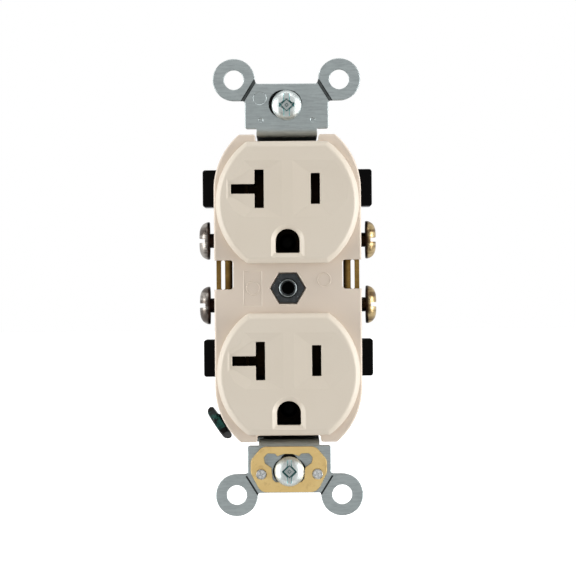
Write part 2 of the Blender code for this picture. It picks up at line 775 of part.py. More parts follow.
def ground_contact(name, ground_z, colour):
    """U-shaped contact that grips the round ground pin and is riveted to the strap."""
    outer = GROUND_LEAF_IN + LEAF_T
    floor_front = GROUND_FLOOR_BACK - LEG_T
    floor = box_outline(-outer, ground_z - GROUND_FLOOR_HALF_H, outer, ground_z + GROUND_FLOOR_HALF_H)
    contact = prism(name, "Y", floor, floor_front, GROUND_FLOOR_BACK, colour)
    for side, label in ((-1, "_left"), (1, "_right")):
        leaf = side_box(
            side, GROUND_LEAF_IN, ground_z - GROUND_LEAF_HALF_H, outer, ground_z + GROUND_LEAF_HALF_H)
        fuse_prism(contact, name + label, "Y", leaf, GROUND_LEAF_FRONT, GROUND_FLOOR_BACK)
    hole = circle(0.0, ground_z, RIVET_HOLE_R, 12)
    cut_prisms(contact, name + "_hole", "Y", [(hole, floor_front - PAST, GROUND_FLOOR_BACK + PAST)])
    return contact


def pressure_plate(name, side, terminal, colour):
    """Clamping plate held on the tip of a terminal screw, between the legs of the bus."""
    outer = OUTER_LEG - LEG_T - GAP
    centre = (side * outer, TERMINAL_Y, terminal)
    near, far = span(side, outer - CLAMP_T, outer)
    shape = box_outline(
        LEG_FRONT + LEG_T + GAP, terminal - CLAMP_HALF_H, LEG_BACK, terminal + CLAMP_HALF_H)
    plate = prism(name, "X", shape, near, far, colour, centre)
    cut(plate, turned(
        "cut_" + name, [(-4.0, CLAMP_HOLE_R), (4.0, CLAMP_HOLE_R)],
        centre, (side, 0.0, 0.0), None, 12))
    return plate


# ---------------------------------------------------------------- screws, rivets, post

def slot_cutter(name, base, direction, across, width, depth, top):
    """A bar laid across a screw head, open at both ends."""
    outward = Vector(direction).normalized()
    run = Vector(across).normalized()
    side = outward.cross(run)
    height = depth + SLOT_REACH
    builder = bmesh.new()
    bmesh.ops.create_cube(builder, size=1.0)
    turn = Matrix((run, side, outward)).transposed().to_4x4()
    scale = Matrix.Diagonal((SLOT_LENGTH * MM, width * MM, height * MM, 1.0))
    centre = (Vector(base) + outward * (top - depth + height / 2)) * MM
    place = Matrix.Translation(centre) @ turn @ scale
    bmesh.ops.transform(builder, matrix=place, verts=builder.verts[:])
    return finish_object(name, builder, base, None)


def terminal_screw(name, side, terminal, colour):
    """Number 8 binding-head screw with a pin at its tip that holds the pressure plate."""
    base = (side * TERMINAL_HEAD_X, TERMINAL_Y, terminal)
    shoulder = -(TERMINAL_HEAD_X - OUTER_LEG + LEG_T + 0.05)
    collar = shoulder - CLAMP_T - 2 * GAP
    screw = turned(name, [
        (TERMINAL_HEAD_T, 2.5), (1.9, 3.5), (1.0, 4.2), (0.5, TERMINAL_HEAD_R),
        (0.0, TERMINAL_HEAD_R), (0.0, 1.65), (-1.4, 1.65), (-1.8, THREAD_8_R),
        (shoulder, THREAD_8_R), (shoulder, TERMINAL_PIN_R), (collar, TERMINAL_PIN_R),
        (collar, TERMINAL_PIN_HEAD_R), (collar - 0.6, 1.5),
    ], base, (side, 0.0, 0.0), colour)
    cut(screw, slot_cutter(
        "cut_" + name, base, (side, 0.0, 0.0), (0.0, 1.0, 0.0),
        SLOT_8_W, SLOT_8_DEPTH, TERMINAL_HEAD_T))
    return screw


def hexagon_in_circle(flats, limit, turn, steps=24):
    """Outline of a hexagon whose corners are trimmed to a circle, turned by an angle in degrees."""
    points = []
    for index in range(steps):
        angle = 2.0 * math.pi * index / steps
        from_flat = (angle + math.pi / 6.0) % (math.pi / 3.0) - math.pi / 6.0
        radius = min(flats / 2.0 / math.cos(from_flat), limit)
        turned_by = angle + math.radians(turn)
        points.append((radius * math.cos(turned_by), radius * math.sin(turned_by)))
    return points


def ground_screw(colour):
    """Green number 8 screw with a slotted hexagon head, on the strap's tab."""
    flats = GROUND_HEAD_FLATS
    corner = flats / math.sqrt(3.0)
    turn = GROUND_HEAD_TURN + axis_turn(TAB_DIRECTION)
    top = GROUND_HEAD_T
    trims = ((top, 3.5), (top - 0.55, corner), (0.35, corner), (0.0, 3.85))
    sections = [(height, hexagon_in_circle(flats, limit, turn)) for height, limit in trims]
    for height, radius in ((0.0, THREAD_8_R), (-5.4, THREAD_8_R), (-5.9, 1.5)):
        sections.append((height, hexagon_in_circle(4.0 * radius, radius, turn)))
    screw = stacked("ground_screw", sections, GROUND_SCREW_AT, TAB_DIRECTION, colour)
    along_case = (TAB_DIRECTION.z, 0.0, -TAB_DIRECTION.x)
    cut(screw, slot_cutter(
        "cut_ground_screw", GROUND_SCREW_AT, TAB_DIRECTION, along_case,
        SLOT_8_W, GROUND_SLOT_DEPTH, top))
    return screw


def axis_turn(direction):
    """Angle in degrees of -Y about a direction, in the frame that a turned solid is made in."""
    turn = Vector((0.0, 0.0, 1.0)).rotation_difference(direction)
    front = turn.inverted() @ Vector((0.0, -1.0, 0.0))
    return math.degrees(math.atan2(front.y, front.x))


def mounting_screw(name, height, seat, colour):
    """Number 6 device screw with a slot and a square recess."""
    base = (0.0, seat, height)
    screw = turned(name, [
        (MOUNT_HEAD_T, 1.3), (1.55, 2.5), (0.8, 3.2), (0.3, MOUNT_HEAD_R), (0.0, MOUNT_HEAD_R),
        (0.0, THREAD_6_R), (-MOUNT_SCREW_L + 0.8, THREAD_6_R), (-MOUNT_SCREW_L, 1.1),
    ], base, (0.0, -1.0, 0.0), colour)
    cut(screw, slot_cutter(
        "cut_slot_" + name, base, (0.0, -1.0, 0.0), (0.0, 0.0, 1.0),
        SLOT_6_W, SLOT_6_DEPTH, MOUNT_HEAD_T))
    square = [(u, height + v) for u, v in circle(0.0, 0.0, RECESS_R, 4)]
    cut_prisms(screw, "recess_" + name, "Y", [
        (square, seat - MOUNT_HEAD_T - PAST, seat - RECESS_FLOOR)])
    return screw


def screw_retainer(name, height, colour):
    """Fibre washer that holds a mounting screw in the strap's slot."""
    shape = box_outline(
        -RETAINER_HALF_W, height - RETAINER_HALF_H, RETAINER_HALF_W, height + RETAINER_HALF_H)
    retainer = prism(name, "Y", shape, GAP, GAP + RETAINER_T, colour, (0.0, GAP, height))
    hole = circle(0.0, height, THREAD_6_R + GAP, 16)
    cut_prisms(retainer, name, "Y", [(hole, GAP - PAST, GAP + RETAINER_T + PAST)])
    return retainer


def center_post(colour):
    """Hexagon-headed rivet with a blind bore, tapped for the wall plate's screw."""
    head_front = COVER_FRONT + HEX_SINK
    tail = REAR_BACK + GAP
    tube_front = head_front + 0.3
    post = turned("center_post", [
        (0.0, POST_R), (-0.5, POST_R), (tube_front - tail - 0.6 * TAIL_T, POST_R),
    ], (0.0, tube_front, 0.0), (0.0, -1.0, 0.0), colour)
    fuse_prism(post, "hex_head", "Y", hexagon(HEX_FLATS), head_front, head_front + HEX_T)
    collar = circle(0.0, 0.0, COLLAR_R, 20)
    fuse_prism(post, "collar", "Y", collar, head_front - COLLAR_RISE, head_front + PAST)
    fuse_prism(post, "tail", "Y", circle(0.0, 0.0, TAIL_R, 20), tail, tail + TAIL_T)
    cut_prisms(post, "post_bore", "Y", [
        (circle(0.0, 0.0, POST_BORE_R, 16), head_front - 2.0 * PAST, POST_BORE_BACK)])
    return post


def rivet(name, x, z, shank, head_r, front, front_t, back, back_t, colour):
    """Two-headed rivet along Y; front and back are the inner faces of its heads."""
    return turned(name, [
        (front_t, head_r * 0.55), (front_t * 0.6, head_r * 0.9), (0.0, head_r), (0.0, shank),
        (front - back, shank), (front - back, head_r), (front - back - back_t * 0.6, head_r * 0.9),
        (front - back - back_t, head_r * 0.55),
    ], (x, front, z), (0.0, -1.0, 0.0), colour, 16)


def grounding_clip(colour):
    """Thin brass spring that grounds the lower mounting screw to the strap."""
    right = [
        (6.1, CLIP_TOP), (CLIP_HALF_W, -38.4), (CLIP_HALF_W, -42.6), (6.3, CLIP_BOTTOM),
    ]
    outline = right + mirrored_u(right)
    clip_front = CLIP_BACK - CLIP_T
    clip = prism("self_grounding_clip", "Y", outline[::-1], clip_front, CLIP_BACK, colour)
    lobe = [(2.6, -37.7), (4.6, -37.7), (5.45, -38.5), (5.3, -39.7), (3.9, -41.2), (3.55, -43.9)]
    opening = (lobe + mirrored_u(lobe))[::-1]
    cut_prisms(clip, "clip_opening", "Y", [(opening, clip_front - PAST, CLIP_BACK + PAST)])
    cut_prisms(clip, "clip_rivets", "Y", [
        (
            circle(side * RIVET_X, RIVET_Z, CLIP_RIVET_HOLE_R, 12),
            clip_front - PAST, CLIP_BACK + PAST,
        )
        for side in (-1, 1)
    ])
    return clip


# ---------------------------------------------------------------- assembly

def build():
    clear_scene()
    almond = material("almond_plastic", (0.66, 0.59, 0.49), 0.38)
    black = material("black_plastic", (0.012, 0.012, 0.013), 0.45)
    steel = material("galvanised_steel", (0.36, 0.38, 0.40), 0.42, 1.0)
    dark_steel = material("dark_steel", (0.10, 0.10, 0.11), 0.40, 1.0)
    brass = material("brass", (0.60, 0.42, 0.17), 0.32, 1.0)
    brass_screw = material("brass_screw", (0.55, 0.40, 0.20), 0.30, 1.0)
    nickel = material("nickel", (0.45, 0.42, 0.38), 0.30, 1.0)
    zinc = material("zinc", (0.62, 0.66, 0.67), 0.25, 1.0)
    green = material("green_screw", (0.01, 0.08, 0.05), 0.30, 0.4)
    fibre = material("black_fibre", (0.015, 0.015, 0.016), 0.80)

    face_cover(almond)
    back_body(black)
    mounting_strap(steel)
    center_post(dark_steel)
    bus("line_bus", 1, brass)
    bus("neutral_bus", -1, brass)
    poles = (("line", 1, brass_screw), ("neutral", -1, nickel))
    for row, _, _, ground_z, terminal in outlets():
        ground_contact(row + "_ground_contact", ground_z, brass)
        rivet(
            row + "_ground_rivet", 0.0, ground_z, GROUND_RIVET_R, GROUND_RIVET_HEAD_R,
            GROUND_RIVET_FRONT, GROUND_RIVET_HEAD_T, REAR_BACK + GAP, GROUND_RIVET_TAIL_T, steel)
        for pole, side, finish in poles:
            terminal_screw(row + "_" + pole + "_screw", side, terminal, finish)
            pressure_plate(row + "_" + pole + "_clamp", side, terminal, brass)
    ground_screw(green)
    grounding_clip(brass)
    for label, side in (("left", -1), ("right", 1)):
        rivet(
            label + "_clip_rivet", side * RIVET_X, RIVET_Z, CLIP_RIVET_R, CLIP_RIVET_HEAD_R,
            CLIP_BACK - CLIP_T - GAP, CLIP_RIVET_HEAD_T, GAP, CLIP_RIVET_TAIL_T, zinc)
    for row, height, seat in (
        ("upper", MOUNT_Z, PLATE_FRONT - GAP),
        ("lower", -MOUNT_Z, CLIP_BACK - CLIP_T - GAP),
    ):
        mounting_screw(row + "_mounting_screw", height, seat, zinc)
        screw_retainer(row + "_screw_retainer", height, fibre)


build()
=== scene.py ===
"""Duplex wall outlet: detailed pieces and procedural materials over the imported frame.

Lengths in this script are millimetres and turn into metres where meshes are made. +X is to the
right and +Z up as seen from the front, and the outlet faces look along -Y.
"""
import math

import bmesh
import bpy
from mathutils import Matrix, Vector


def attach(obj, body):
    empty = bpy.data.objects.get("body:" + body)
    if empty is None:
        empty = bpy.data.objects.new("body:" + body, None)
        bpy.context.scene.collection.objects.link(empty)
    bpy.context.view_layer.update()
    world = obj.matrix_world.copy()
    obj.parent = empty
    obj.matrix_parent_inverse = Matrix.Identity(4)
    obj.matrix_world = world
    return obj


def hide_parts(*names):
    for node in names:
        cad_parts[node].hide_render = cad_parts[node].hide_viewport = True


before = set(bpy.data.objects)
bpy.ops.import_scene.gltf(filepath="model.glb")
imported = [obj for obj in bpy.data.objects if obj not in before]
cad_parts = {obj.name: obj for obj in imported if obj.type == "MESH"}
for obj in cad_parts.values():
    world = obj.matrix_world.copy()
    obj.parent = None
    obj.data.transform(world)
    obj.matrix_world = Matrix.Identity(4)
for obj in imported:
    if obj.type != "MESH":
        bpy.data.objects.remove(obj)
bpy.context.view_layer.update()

MM = 0.001
GAP = 0.3

OUTLET_PITCH = 38.9
BLADE_X = 6.35
BLADE_RISE = 3.05
GROUND_DROP = 8.75
MOUNT_Z = 41.67

STRAP_T = 1.3
PLATE_FRONT = -STRAP_T
COVER_FRONT = -4.2
FACE_FRONT = -7.6
COVER_BACK = 3.2
BODY_FRONT = 3.5
BODY_BACK = 23.5
REAR_FRONT = 23.8
REAR_BACK = 25.1

COVER_HALF_W = 16.7
COVER_HALF_L = 34.93
CORNER_R = 16.45
CORNER_X = 0.25
CORNER_Z = 22.4
NOTCH_HALF_W = 7.2
NOTCH_END = 33.4
COVER_WALL = 1.7
FACE_HALF_H = 13.8
FACE_R = 16.97
FACE_OFFSET = 0.70
SLOT_W = 2.1
HOT_SLOT_H = 7.0
NEUTRAL_SLOT_H = 8.7
NEUTRAL_BAR_H = 2.2
NEUTRAL_BAR_END = 12.75
GROUND_R = 2.7
GROUND_FLAT_DROP = 11.47
WINDOW_X = 12.4
WINDOW_LOW = -0.2
WINDOW_HIGH = 6.45
DISH_DEPTH = 0.4
FACE_MARKS = ((8.19, 1.9, 0.0), (-8.0, 0.1, 0.10))      # x, z and depth of the plain rings
RING_MARK_R = 1.5
LABEL_RECESS = (-10.0, -3.95, -6.0, 3.93)

HEX_FLATS = 6.55
HEX_RECESS_FLATS = 7.15
HEX_T = 1.3
POST_R = 2.5
SLOT_CUTTER_REACH = 7.0
POST_BORE_BACK = 14.0
POST_HOLE_R = 2.8
BODY_RIVET_Y = 19.7
BODY_RIVET_HOLE_R = 1.5

BODY_INSET = 0.8
BODY_HALF_L = 34.0
TAB_OUT = 19.4
TAB_H = 8.5
TAB_RISE = 22.95 - OUTLET_PITCH / 2
TAB_BACK = 13.5

UPPER_TERMINAL_Z = 11.05
LOWER_TERMINAL_Z = -3.85
TERMINAL_Y = 8.3
LEG_T = 0.9
OUTER_LEG = 15.0
INNER_LEG = 9.9
LEG_FRONT = 4.0
LEG_BACK = 12.6
LEG_HALF_H = 4.3
CONTACT_FLOOR = 13.6
CONTACT_TIP = 0.0
LEAF_T = 0.8
WIRE_HOLE_X = 11.3
WIRE_HOLE_RISE = 2.4
WIRE_HOLE_R = 1.35
FIN_OUT = 16.4
FIN_IN = 12.7
FIN_SLOT = (14.42, 15.3)

TERMINAL_HEAD_R = 4.35
TERMINAL_HEAD_X = 17.9
NECK_END = (TERMINAL_HEAD_X + 0.35) * MM
RIM_END = (TERMINAL_HEAD_X + 0.75) * MM
THREAD_8_R = 2.08
PITCH_8 = 0.79375
MOUNT_HEAD_R = 3.4
THREAD_6_R = 1.75
PITCH_6 = 0.79375
MOUNT_SCREW_L = 19.05

NECK_HALF_W = 6.92
WALL_IN = 34.5
FRONT_BEND = 0.5
REAR_BEND = 0.7
PLATE_HALF_W = 9.5
PLATE_LOW = 36.3
PLATE_SHOULDER = 42.5
PLATE_TOP = 46.6
PLATE_TOP_HALF = 6.95
EAR_X = 12.0
EAR_Z = 47.5
LOWER_EAR_Z = 47.05
LOWER_PLATE_LOW = 35.8
EAR_R = 4.8
EAR_HOLE_R = 2.25
MOUNT_SLOT_HALF = 3.75
MOUNT_SLOT_R = 2.9

TAB_DIRECTION = Vector((-0.832, 0.0, -0.555)).normalized()
GROUND_SCREW_AT = (-15.34, 9.2, -30.54)
GROUND_HEAD_FLATS = 7.4
GROUND_HEAD_T = 1.9
GROUND_HEAD_TURN = -5.0
TAB_DROP = 2.4
TAB_FRONT = 4.6
TAB_REAR = 13.8
TAB_END = 2.6
TAB_ROOT_IN = 34.15
TAB_ROOT_OUT = 35.2

CLIP_T = 0.45
CLIP_BACK = PLATE_FRONT - GAP
CLIP_HALF_W = 8.65
CLIP_SHIFT = -0.12
CLIP_TOP = -36.0
CLIP_BOTTOM = -46.4
RIVET_X = 6.4
RIVET_Z = -42.3
CLIP_OPENING_SHIFT = -0.25
CLIP_RIVET_HOLE_R = 1.1

UPPER_SLOT_SHIFT = 0.3          # the upper mounting slot stands up and to the left of the screw
STRAP_DENTS = ((-6.1, 43.3, 1.55, 0.07), (5.9, 38.3, 0.55, 0.12), (-5.9, 38.3, 0.55, 0.12))
HEAD_GAP_R = 2.0                # round cut that shows as a dark gap above the lower screw's head
HEAD_GAP_RISE = 2.1

CAMERA_LENS = 189.04
CAMERA_SHIFT = 0.00035
CAMERA_Y = -0.690               # metres, like the rest of the stage
CAMERA_ROLL = 0.45              # degrees
FLOOR_Z = -0.095
LIGHTS = (
    ("top", (0.0, -0.25, 0.75), (0.9, 0.35), 3.0),
    ("bottom", (0.0, -0.25, -0.75), (0.9, 0.35), 1.9),
    ("left", (-0.75, -0.2, 0.0), (0.35, 0.9), 6.8),
    ("right", (0.75, -0.2, 0.0), (0.35, 0.9), 8.1),
)

FACET_ANGLE = 1.6               # degrees between wide flats from which their ridge stays sharp
FACET_WIDTH = 0.45
AXES = {"X": (1, 2, 0), "Y": (0, 2, 1)}


# ---------------------------------------------------------------- outlines

def arc(centre_u, centre_v, radius, start, end, steps):
    points = []
    for index in range(steps + 1):
        angle = math.radians(start + (end - start) * index / steps)
        points.append((centre_u + radius * math.cos(angle), centre_v + radius * math.sin(angle)))
    return points


def circle(centre_u, centre_v, radius, steps=48):
    return arc(centre_u, centre_v, radius, 0.0, 360.0, steps)[:-1]


def box_outline(low_u, low_v, high_u, high_v):
    return [(low_u, low_v), (high_u, low_v), (high_u, high_v), (low_u, high_v)]


def side_box(side, low_u, low_v, high_u, high_v):
    """A box on the given side of the middle, from distances to the middle."""
    near, far = sorted((side * low_u, side * high_u))
    return box_outline(near, low_v, far, high_v)


def mirrored_u(outline):
    return [(-u, v) for u, v in reversed(outline)]


def mirrored_v(outline):
    return [(u, -v) for u, v in reversed(outline)]


def winding(outline):
    total = 0.0
    for (u0, v0), (u1, v1) in zip(outline, outline[1:] + outline[:1]):
        total += u0 * v1 - u1 * v0
    return 1.0 if total > 0 else -1.0


def grown(outline, amount):
    """Moves every edge outwards by the same amount, with mitred corners."""
    if abs(amount) < 1e-9:
        return list(outline)
    turn = winding(outline)
    count = len(outline)
    result = []
    for index in range(count):
        before = Vector(outline[index - 1])
        here = Vector(outline[index])
        after = Vector(outline[(index + 1) % count])
        first = (here - before).normalized()
        second = (after - here).normalized()
        normal_a = Vector((first.y, -first.x)) * turn
        normal_b = Vector((second.y, -second.x)) * turn
        middle = normal_a + normal_b
        if middle.length < 1e-6:
            middle = normal_a
        middle.normalize()
        reach = amount / max(0.35, middle.dot(normal_a))
        result.append(tuple(here + middle * reach))
    return result


def filleted(outline, radius, steps=5, least_turn=24.0, moved=0.0):
    """Rounds each corner that turns by more than least_turn degrees.

    When the outline was moved outwards, outer corners get larger radii and inner corners smaller.
    """
    count = len(outline)
    way = winding(outline)
    result = []
    for index in range(count):
        before = Vector(outline[index - 1])
        here = Vector(outline[index])
        after = Vector(outline[(index + 1) % count])
        into = (here - before)
        away = (after - here)
        turn = math.degrees(into.angle(away))
        if turn < least_turn:
            result.append(tuple(here))
            continue
        outer = (into.x * away.y - into.y * away.x) * way > 0.0
        half = math.radians(turn) / 2.0
        wanted = max(0.04, radius + (moved if outer else -moved))
        reach = min(wanted * math.tan(half), 0.48 * into.length, 0.48 * away.length)
        true_radius = reach / math.tan(half)
        start = here - into.normalized() * reach
        end = here + away.normalized() * reach
        bisector = (away.normalized() - into.normalized()).normalized()
        centre = here + bisector * (true_radius / math.cos(half))
        for step in range(steps + 1):
            share = step / steps
            point = start.lerp(end, share) - centre
            result.append(tuple(centre + point.normalized() * true_radius))
    return result


class Rounded:
    """An outline with rounded corners that can be moved in or out evenly."""

    def __init__(self, corners, radius, steps=5, least_turn=24.0):
        self.corners = corners
        self.radius = radius
        self.steps = steps
        self.least_turn = least_turn

    def at(self, amount):
        return filleted(grown(self.corners, amount), self.radius, self.steps, self.least_turn, amount)


def moved(outline, amount):
    if isinstance(outline, Rounded):
        return outline.at(amount)
    return grown(outline, amount)


def hexagon(flats):
    return circle(0.0, 0.0, flats / math.sqrt(3.0), 6)


# ---------------------------------------------------------------- solids

def new_object(name, builder):
    bmesh.ops.recalc_face_normals(builder, faces=builder.faces[:])
    mesh = bpy.data.meshes.new(name)
    builder.to_mesh(mesh)
    builder.free()
    made = bpy.data.objects.new(name, mesh)
    bpy.context.scene.collection.objects.link(made)
    return made


def add_loft(builder, axis, sections):
    first, second, along = AXES[axis]
    rings = []
    for level, outline in sections:
        ring = []
        for u, v in outline:
            point = Vector((0.0, 0.0, 0.0))
            point[first], point[second], point[along] = u * MM, v * MM, level * MM
            ring.append(point)
        rings.append(ring)
    add_rings(builder, rings)


def join_rings(builder, near, far):
    for index in range(len(near)):
        after = (index + 1) % len(near)
        builder.faces.new((near[index], near[after], far[after], far[index]))


def add_rings(builder, rings):
    """Skins rings of points, which are in metres, and closes both ends."""
    made = [[builder.verts.new(point) for point in ring] for ring in rings]
    for near, far in zip(made, made[1:]):
        join_rings(builder, near, far)
    builder.faces.new(made[0])
    builder.faces.new(made[-1])


def from_rings(name, rings):
    builder = bmesh.new()
    add_rings(builder, rings)
    return new_object(name, builder)


def lofts(name, axis, stacks):
    builder = bmesh.new()
    for sections in stacks:
        add_loft(builder, axis, sections)
    return new_object(name, builder)


def rounded_sections(outline, low, high, round_low, round_high, steps=4):
    """Sections of a slab whose edges are rounded at both ends."""
    sections = []
    for step in range(steps + 1):
        angle = math.pi / 2.0 * step / steps
        inset = round_low * (1.0 - math.sin(angle))
        sections.append((low + round_low * (1.0 - math.cos(angle)), moved(outline, -inset)))
    for step in range(steps, -1, -1):
        angle = math.pi / 2.0 * step / steps
        inset = round_high * (1.0 - math.sin(angle))
        sections.append((high - round_high * (1.0 - math.cos(angle)), moved(outline, -inset)))
    return sections


def straight(outline, low, high):
    """Sections of a prism between two levels."""
    return [(low, outline), (high, outline)]


def slab(name, axis, outline, low, high, round_low, round_high, steps=4):
    return lofts(name, axis, [rounded_sections(outline, low, high, round_low, round_high, steps)])


def flared_sections(outline, front, back, round_front, round_back, steps=4):
    """Sections of a cutter whose hole opens out with rounded edges at both surfaces."""
    sections = [(front - 1.5, moved(outline, round_front))]
    for step in range(steps + 1):
        depth = round_front * step / steps
        rest = round_front - depth
        growth = round_front - math.sqrt(max(0.0, round_front ** 2 - rest ** 2))
        sections.append((front + depth, moved(outline, growth)))
    for step in range(steps, -1, -1):
        depth = round_back * step / steps
        rest = round_back - depth
        growth = round_back - math.sqrt(max(0.0, round_back ** 2 - rest ** 2))
        sections.append((back - depth, moved(outline, growth)))
    sections.append((back + 1.5, moved(outline, round_back)))
    return sections


def placed(base, direction):
    turn = Vector((0.0, 0.0, 1.0)).rotation_difference(Vector(direction)).to_matrix().to_4x4()
    return Matrix.Translation(Vector(base) * MM) @ turn


def stacked(name, sections, base, direction):
    """Joins outlines of equal length along an axis that starts at base."""
    place = placed(base, direction)
    return from_rings(name, [
        [place @ Vector((u * MM, v * MM, height * MM)) for u, v in outline]
        for height, outline in sections
    ])


def turned(name, profile, base, direction, steps=64):
    """A solid of revolution from (height, radius) points."""
    sections = [(height, circle(0.0, 0.0, radius, steps)) for height, radius in profile]
    return stacked(name, sections, base, direction)


def smooth_profile(points, steps=4):
    """Rounds the corners of a (height, radius) profile with short curves."""
    result = [points[0]]
    for before, here, after in zip(points, points[1:], points[2:]):
        corner = Vector(here)
        start, end = (
            corner.lerp(Vector(other), min(0.42, 0.12 / max(1e-6, (Vector(other) - corner).length)))
            for other in (before, after)
        )
        for step in range(steps + 1):
            share = step / steps
            result.append(tuple(start.lerp(corner, share).lerp(corner.lerp(end, share), share)))
    result.append(points[-1])
    return result


def threaded(name, radius, depth, pitch, start, end, base, direction, steps=32, per_pitch=8):
    """Shank with a real helical thread between two heights below a head."""
    place = placed(base, direction)
    length = abs(end - start)
    count = max(4, int(length / pitch * per_pitch))
    rings = []
    for level in range(count + 1):
        height = start + (end - start) * level / count
        taper = min(1.0, (length - abs(height - start)) / (1.2 * pitch) + 0.35)
        ring = []
        for step in range(steps):
            angle = 2.0 * math.pi * step / steps
            phase = (height / pitch + step / steps) % 1.0
            ridge = abs(2.0 * phase - 1.0)
            ridge = min(1.0, max(0.0, (ridge - 0.12) / 0.70))
            here = (radius - depth * (1.0 - ridge)) * (0.86 + 0.14 * taper)
            ring.append(place @ Vector((
                here * math.cos(angle) * MM, here * math.sin(angle) * MM, height * MM)))
        rings.append(ring)
    return from_rings(name, rings)


def joined(target, *others):
    """Adds the meshes of other objects to the first one's mesh."""
    builder = bmesh.new()
    builder.from_mesh(target.data)
    for other in others:
        builder.from_mesh(other.data)
        bpy.data.objects.remove(other, do_unlink=True)
    builder.to_mesh(target.data)
    builder.free()
    return target


def combine(target, operation, *tools):
    for tool in tools:
        modifier = target.modifiers.new("step", "BOOLEAN")
        modifier.operation = operation
        modifier.solver = "EXACT"
        modifier.object = tool
    graph = bpy.context.evaluated_depsgraph_get()
    graph.update()
    mesh = bpy.data.meshes.new_from_object(target.evaluated_get(graph))
    target.modifiers.clear()
    old = target.data
    target.data = mesh
    bpy.data.meshes.remove(old)
    for tool in tools:
        bpy.data.objects.remove(tool, do_unlink=True)
    return target


def carve(target, *tools):
    return combine(target, "DIFFERENCE", *tools)


def fuse(target, *tools):
    return combine(target, "UNION", *tools)


def cut(target, stacks, axis="Y"):
    """Carves lofted stacks of outlines out of a piece."""
    return carve(target, lofts("cutter", axis, stacks))


def add_slab(target, *shape):
    return fuse(target, slab("added", *shape))


def slot_cutter(base, direction, across, width, depth, top):
    """A bar laid across a screw head, open at both ends, with a slightly rounded floor."""
    outward = Vector(direction).normalized()
    run = Vector(across).normalized()
    side = outward.cross(run)
    half = width / 2.0
    floor = top - depth
    shape = [
        (-half - 0.12, top + 1.0), (-half - 0.12, top + 0.02), (-half, top - 0.14), (-half, floor + 0.12),
        (-half + 0.12, floor), (half - 0.12, floor), (half, floor + 0.12), (half, top - 0.14),
        (half + 0.12, top + 0.02), (half + 0.12, top + 1.0),
    ]
    return from_rings("slot", [
        [(Vector(base) + side * u + outward * v + run * end) * MM for u, v in shape]
        for end in (-SLOT_CUTTER_REACH, SLOT_CUTTER_REACH)
    ])


def mark_sharp(mesh, corner):
    """Keeps real corners and the low ridges between wide flats crisp."""
    builder = bmesh.new()
    builder.from_mesh(mesh)
    widths = {}
    for face in builder.faces:
        longest = max(edge.calc_length() for edge in face.edges)
        widths[face.index] = face.calc_area() / max(longest, 1e-9)
        face.smooth = True
    for edge in builder.edges:
        if len(edge.link_faces) != 2:
            edge.smooth = False
            continue
        angle = math.degrees(edge.calc_face_angle(0.0))
        wide = min(widths[face.index] for face in edge.link_faces) > FACET_WIDTH * MM
        edge.smooth = not (angle > corner or (wide and angle > FACET_ANGLE))
    builder.to_mesh(mesh)
    builder.free()


def tidy(made):
    builder = bmesh.new()
    builder.from_mesh(made.data)
    bmesh.ops.remove_doubles(builder, verts=builder.verts[:], dist=0.002 * MM)
    bmesh.ops.dissolve_degenerate(builder, edges=builder.edges[:], dist=0.001 * MM)
    builder.to_mesh(made.data)
    builder.free()


def finish(made, name, body, finish_material, nodes=(), corner=30.0):
    """Names, shades and attaches a piece."""
    tidy(made)
    mark_sharp(made.data, corner)
    made.name = name
    made.data.name = name
    made.data.materials.clear()
    made.data.materials.append(finish_material)
    weighted = made.modifiers.new("weighted_normals", "WEIGHTED_NORMAL")
    weighted.keep_sharp = True
    weighted.weight = 80
    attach(made, body)
    if nodes:
        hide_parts(*nodes)
    return made


def paint(made, second_material, chosen):
    """Gives a second material to the faces that a test picks by their place in mm and normal."""
    made.data.materials.append(second_material)
    for polygon in made.data.polygons:
        if chosen(polygon.center / MM, polygon.normal):
            polygon.material_index = 1
    return made


# ---------------------------------------------------------------- materials

def add_node(tree, kind, inputs=None, **settings):
    """Adds a node, whose inputs are linked where they are given as another node's output."""
    made = tree.nodes.new(kind)
    for key, value in settings.items():
        setattr(made, key, value)
    for key, value in (inputs or {}).items():
        if hasattr(value, "is_output"):
            tree.links.new(value, made.inputs[key])
        else:
            made.inputs[key].default_value = value
    return made


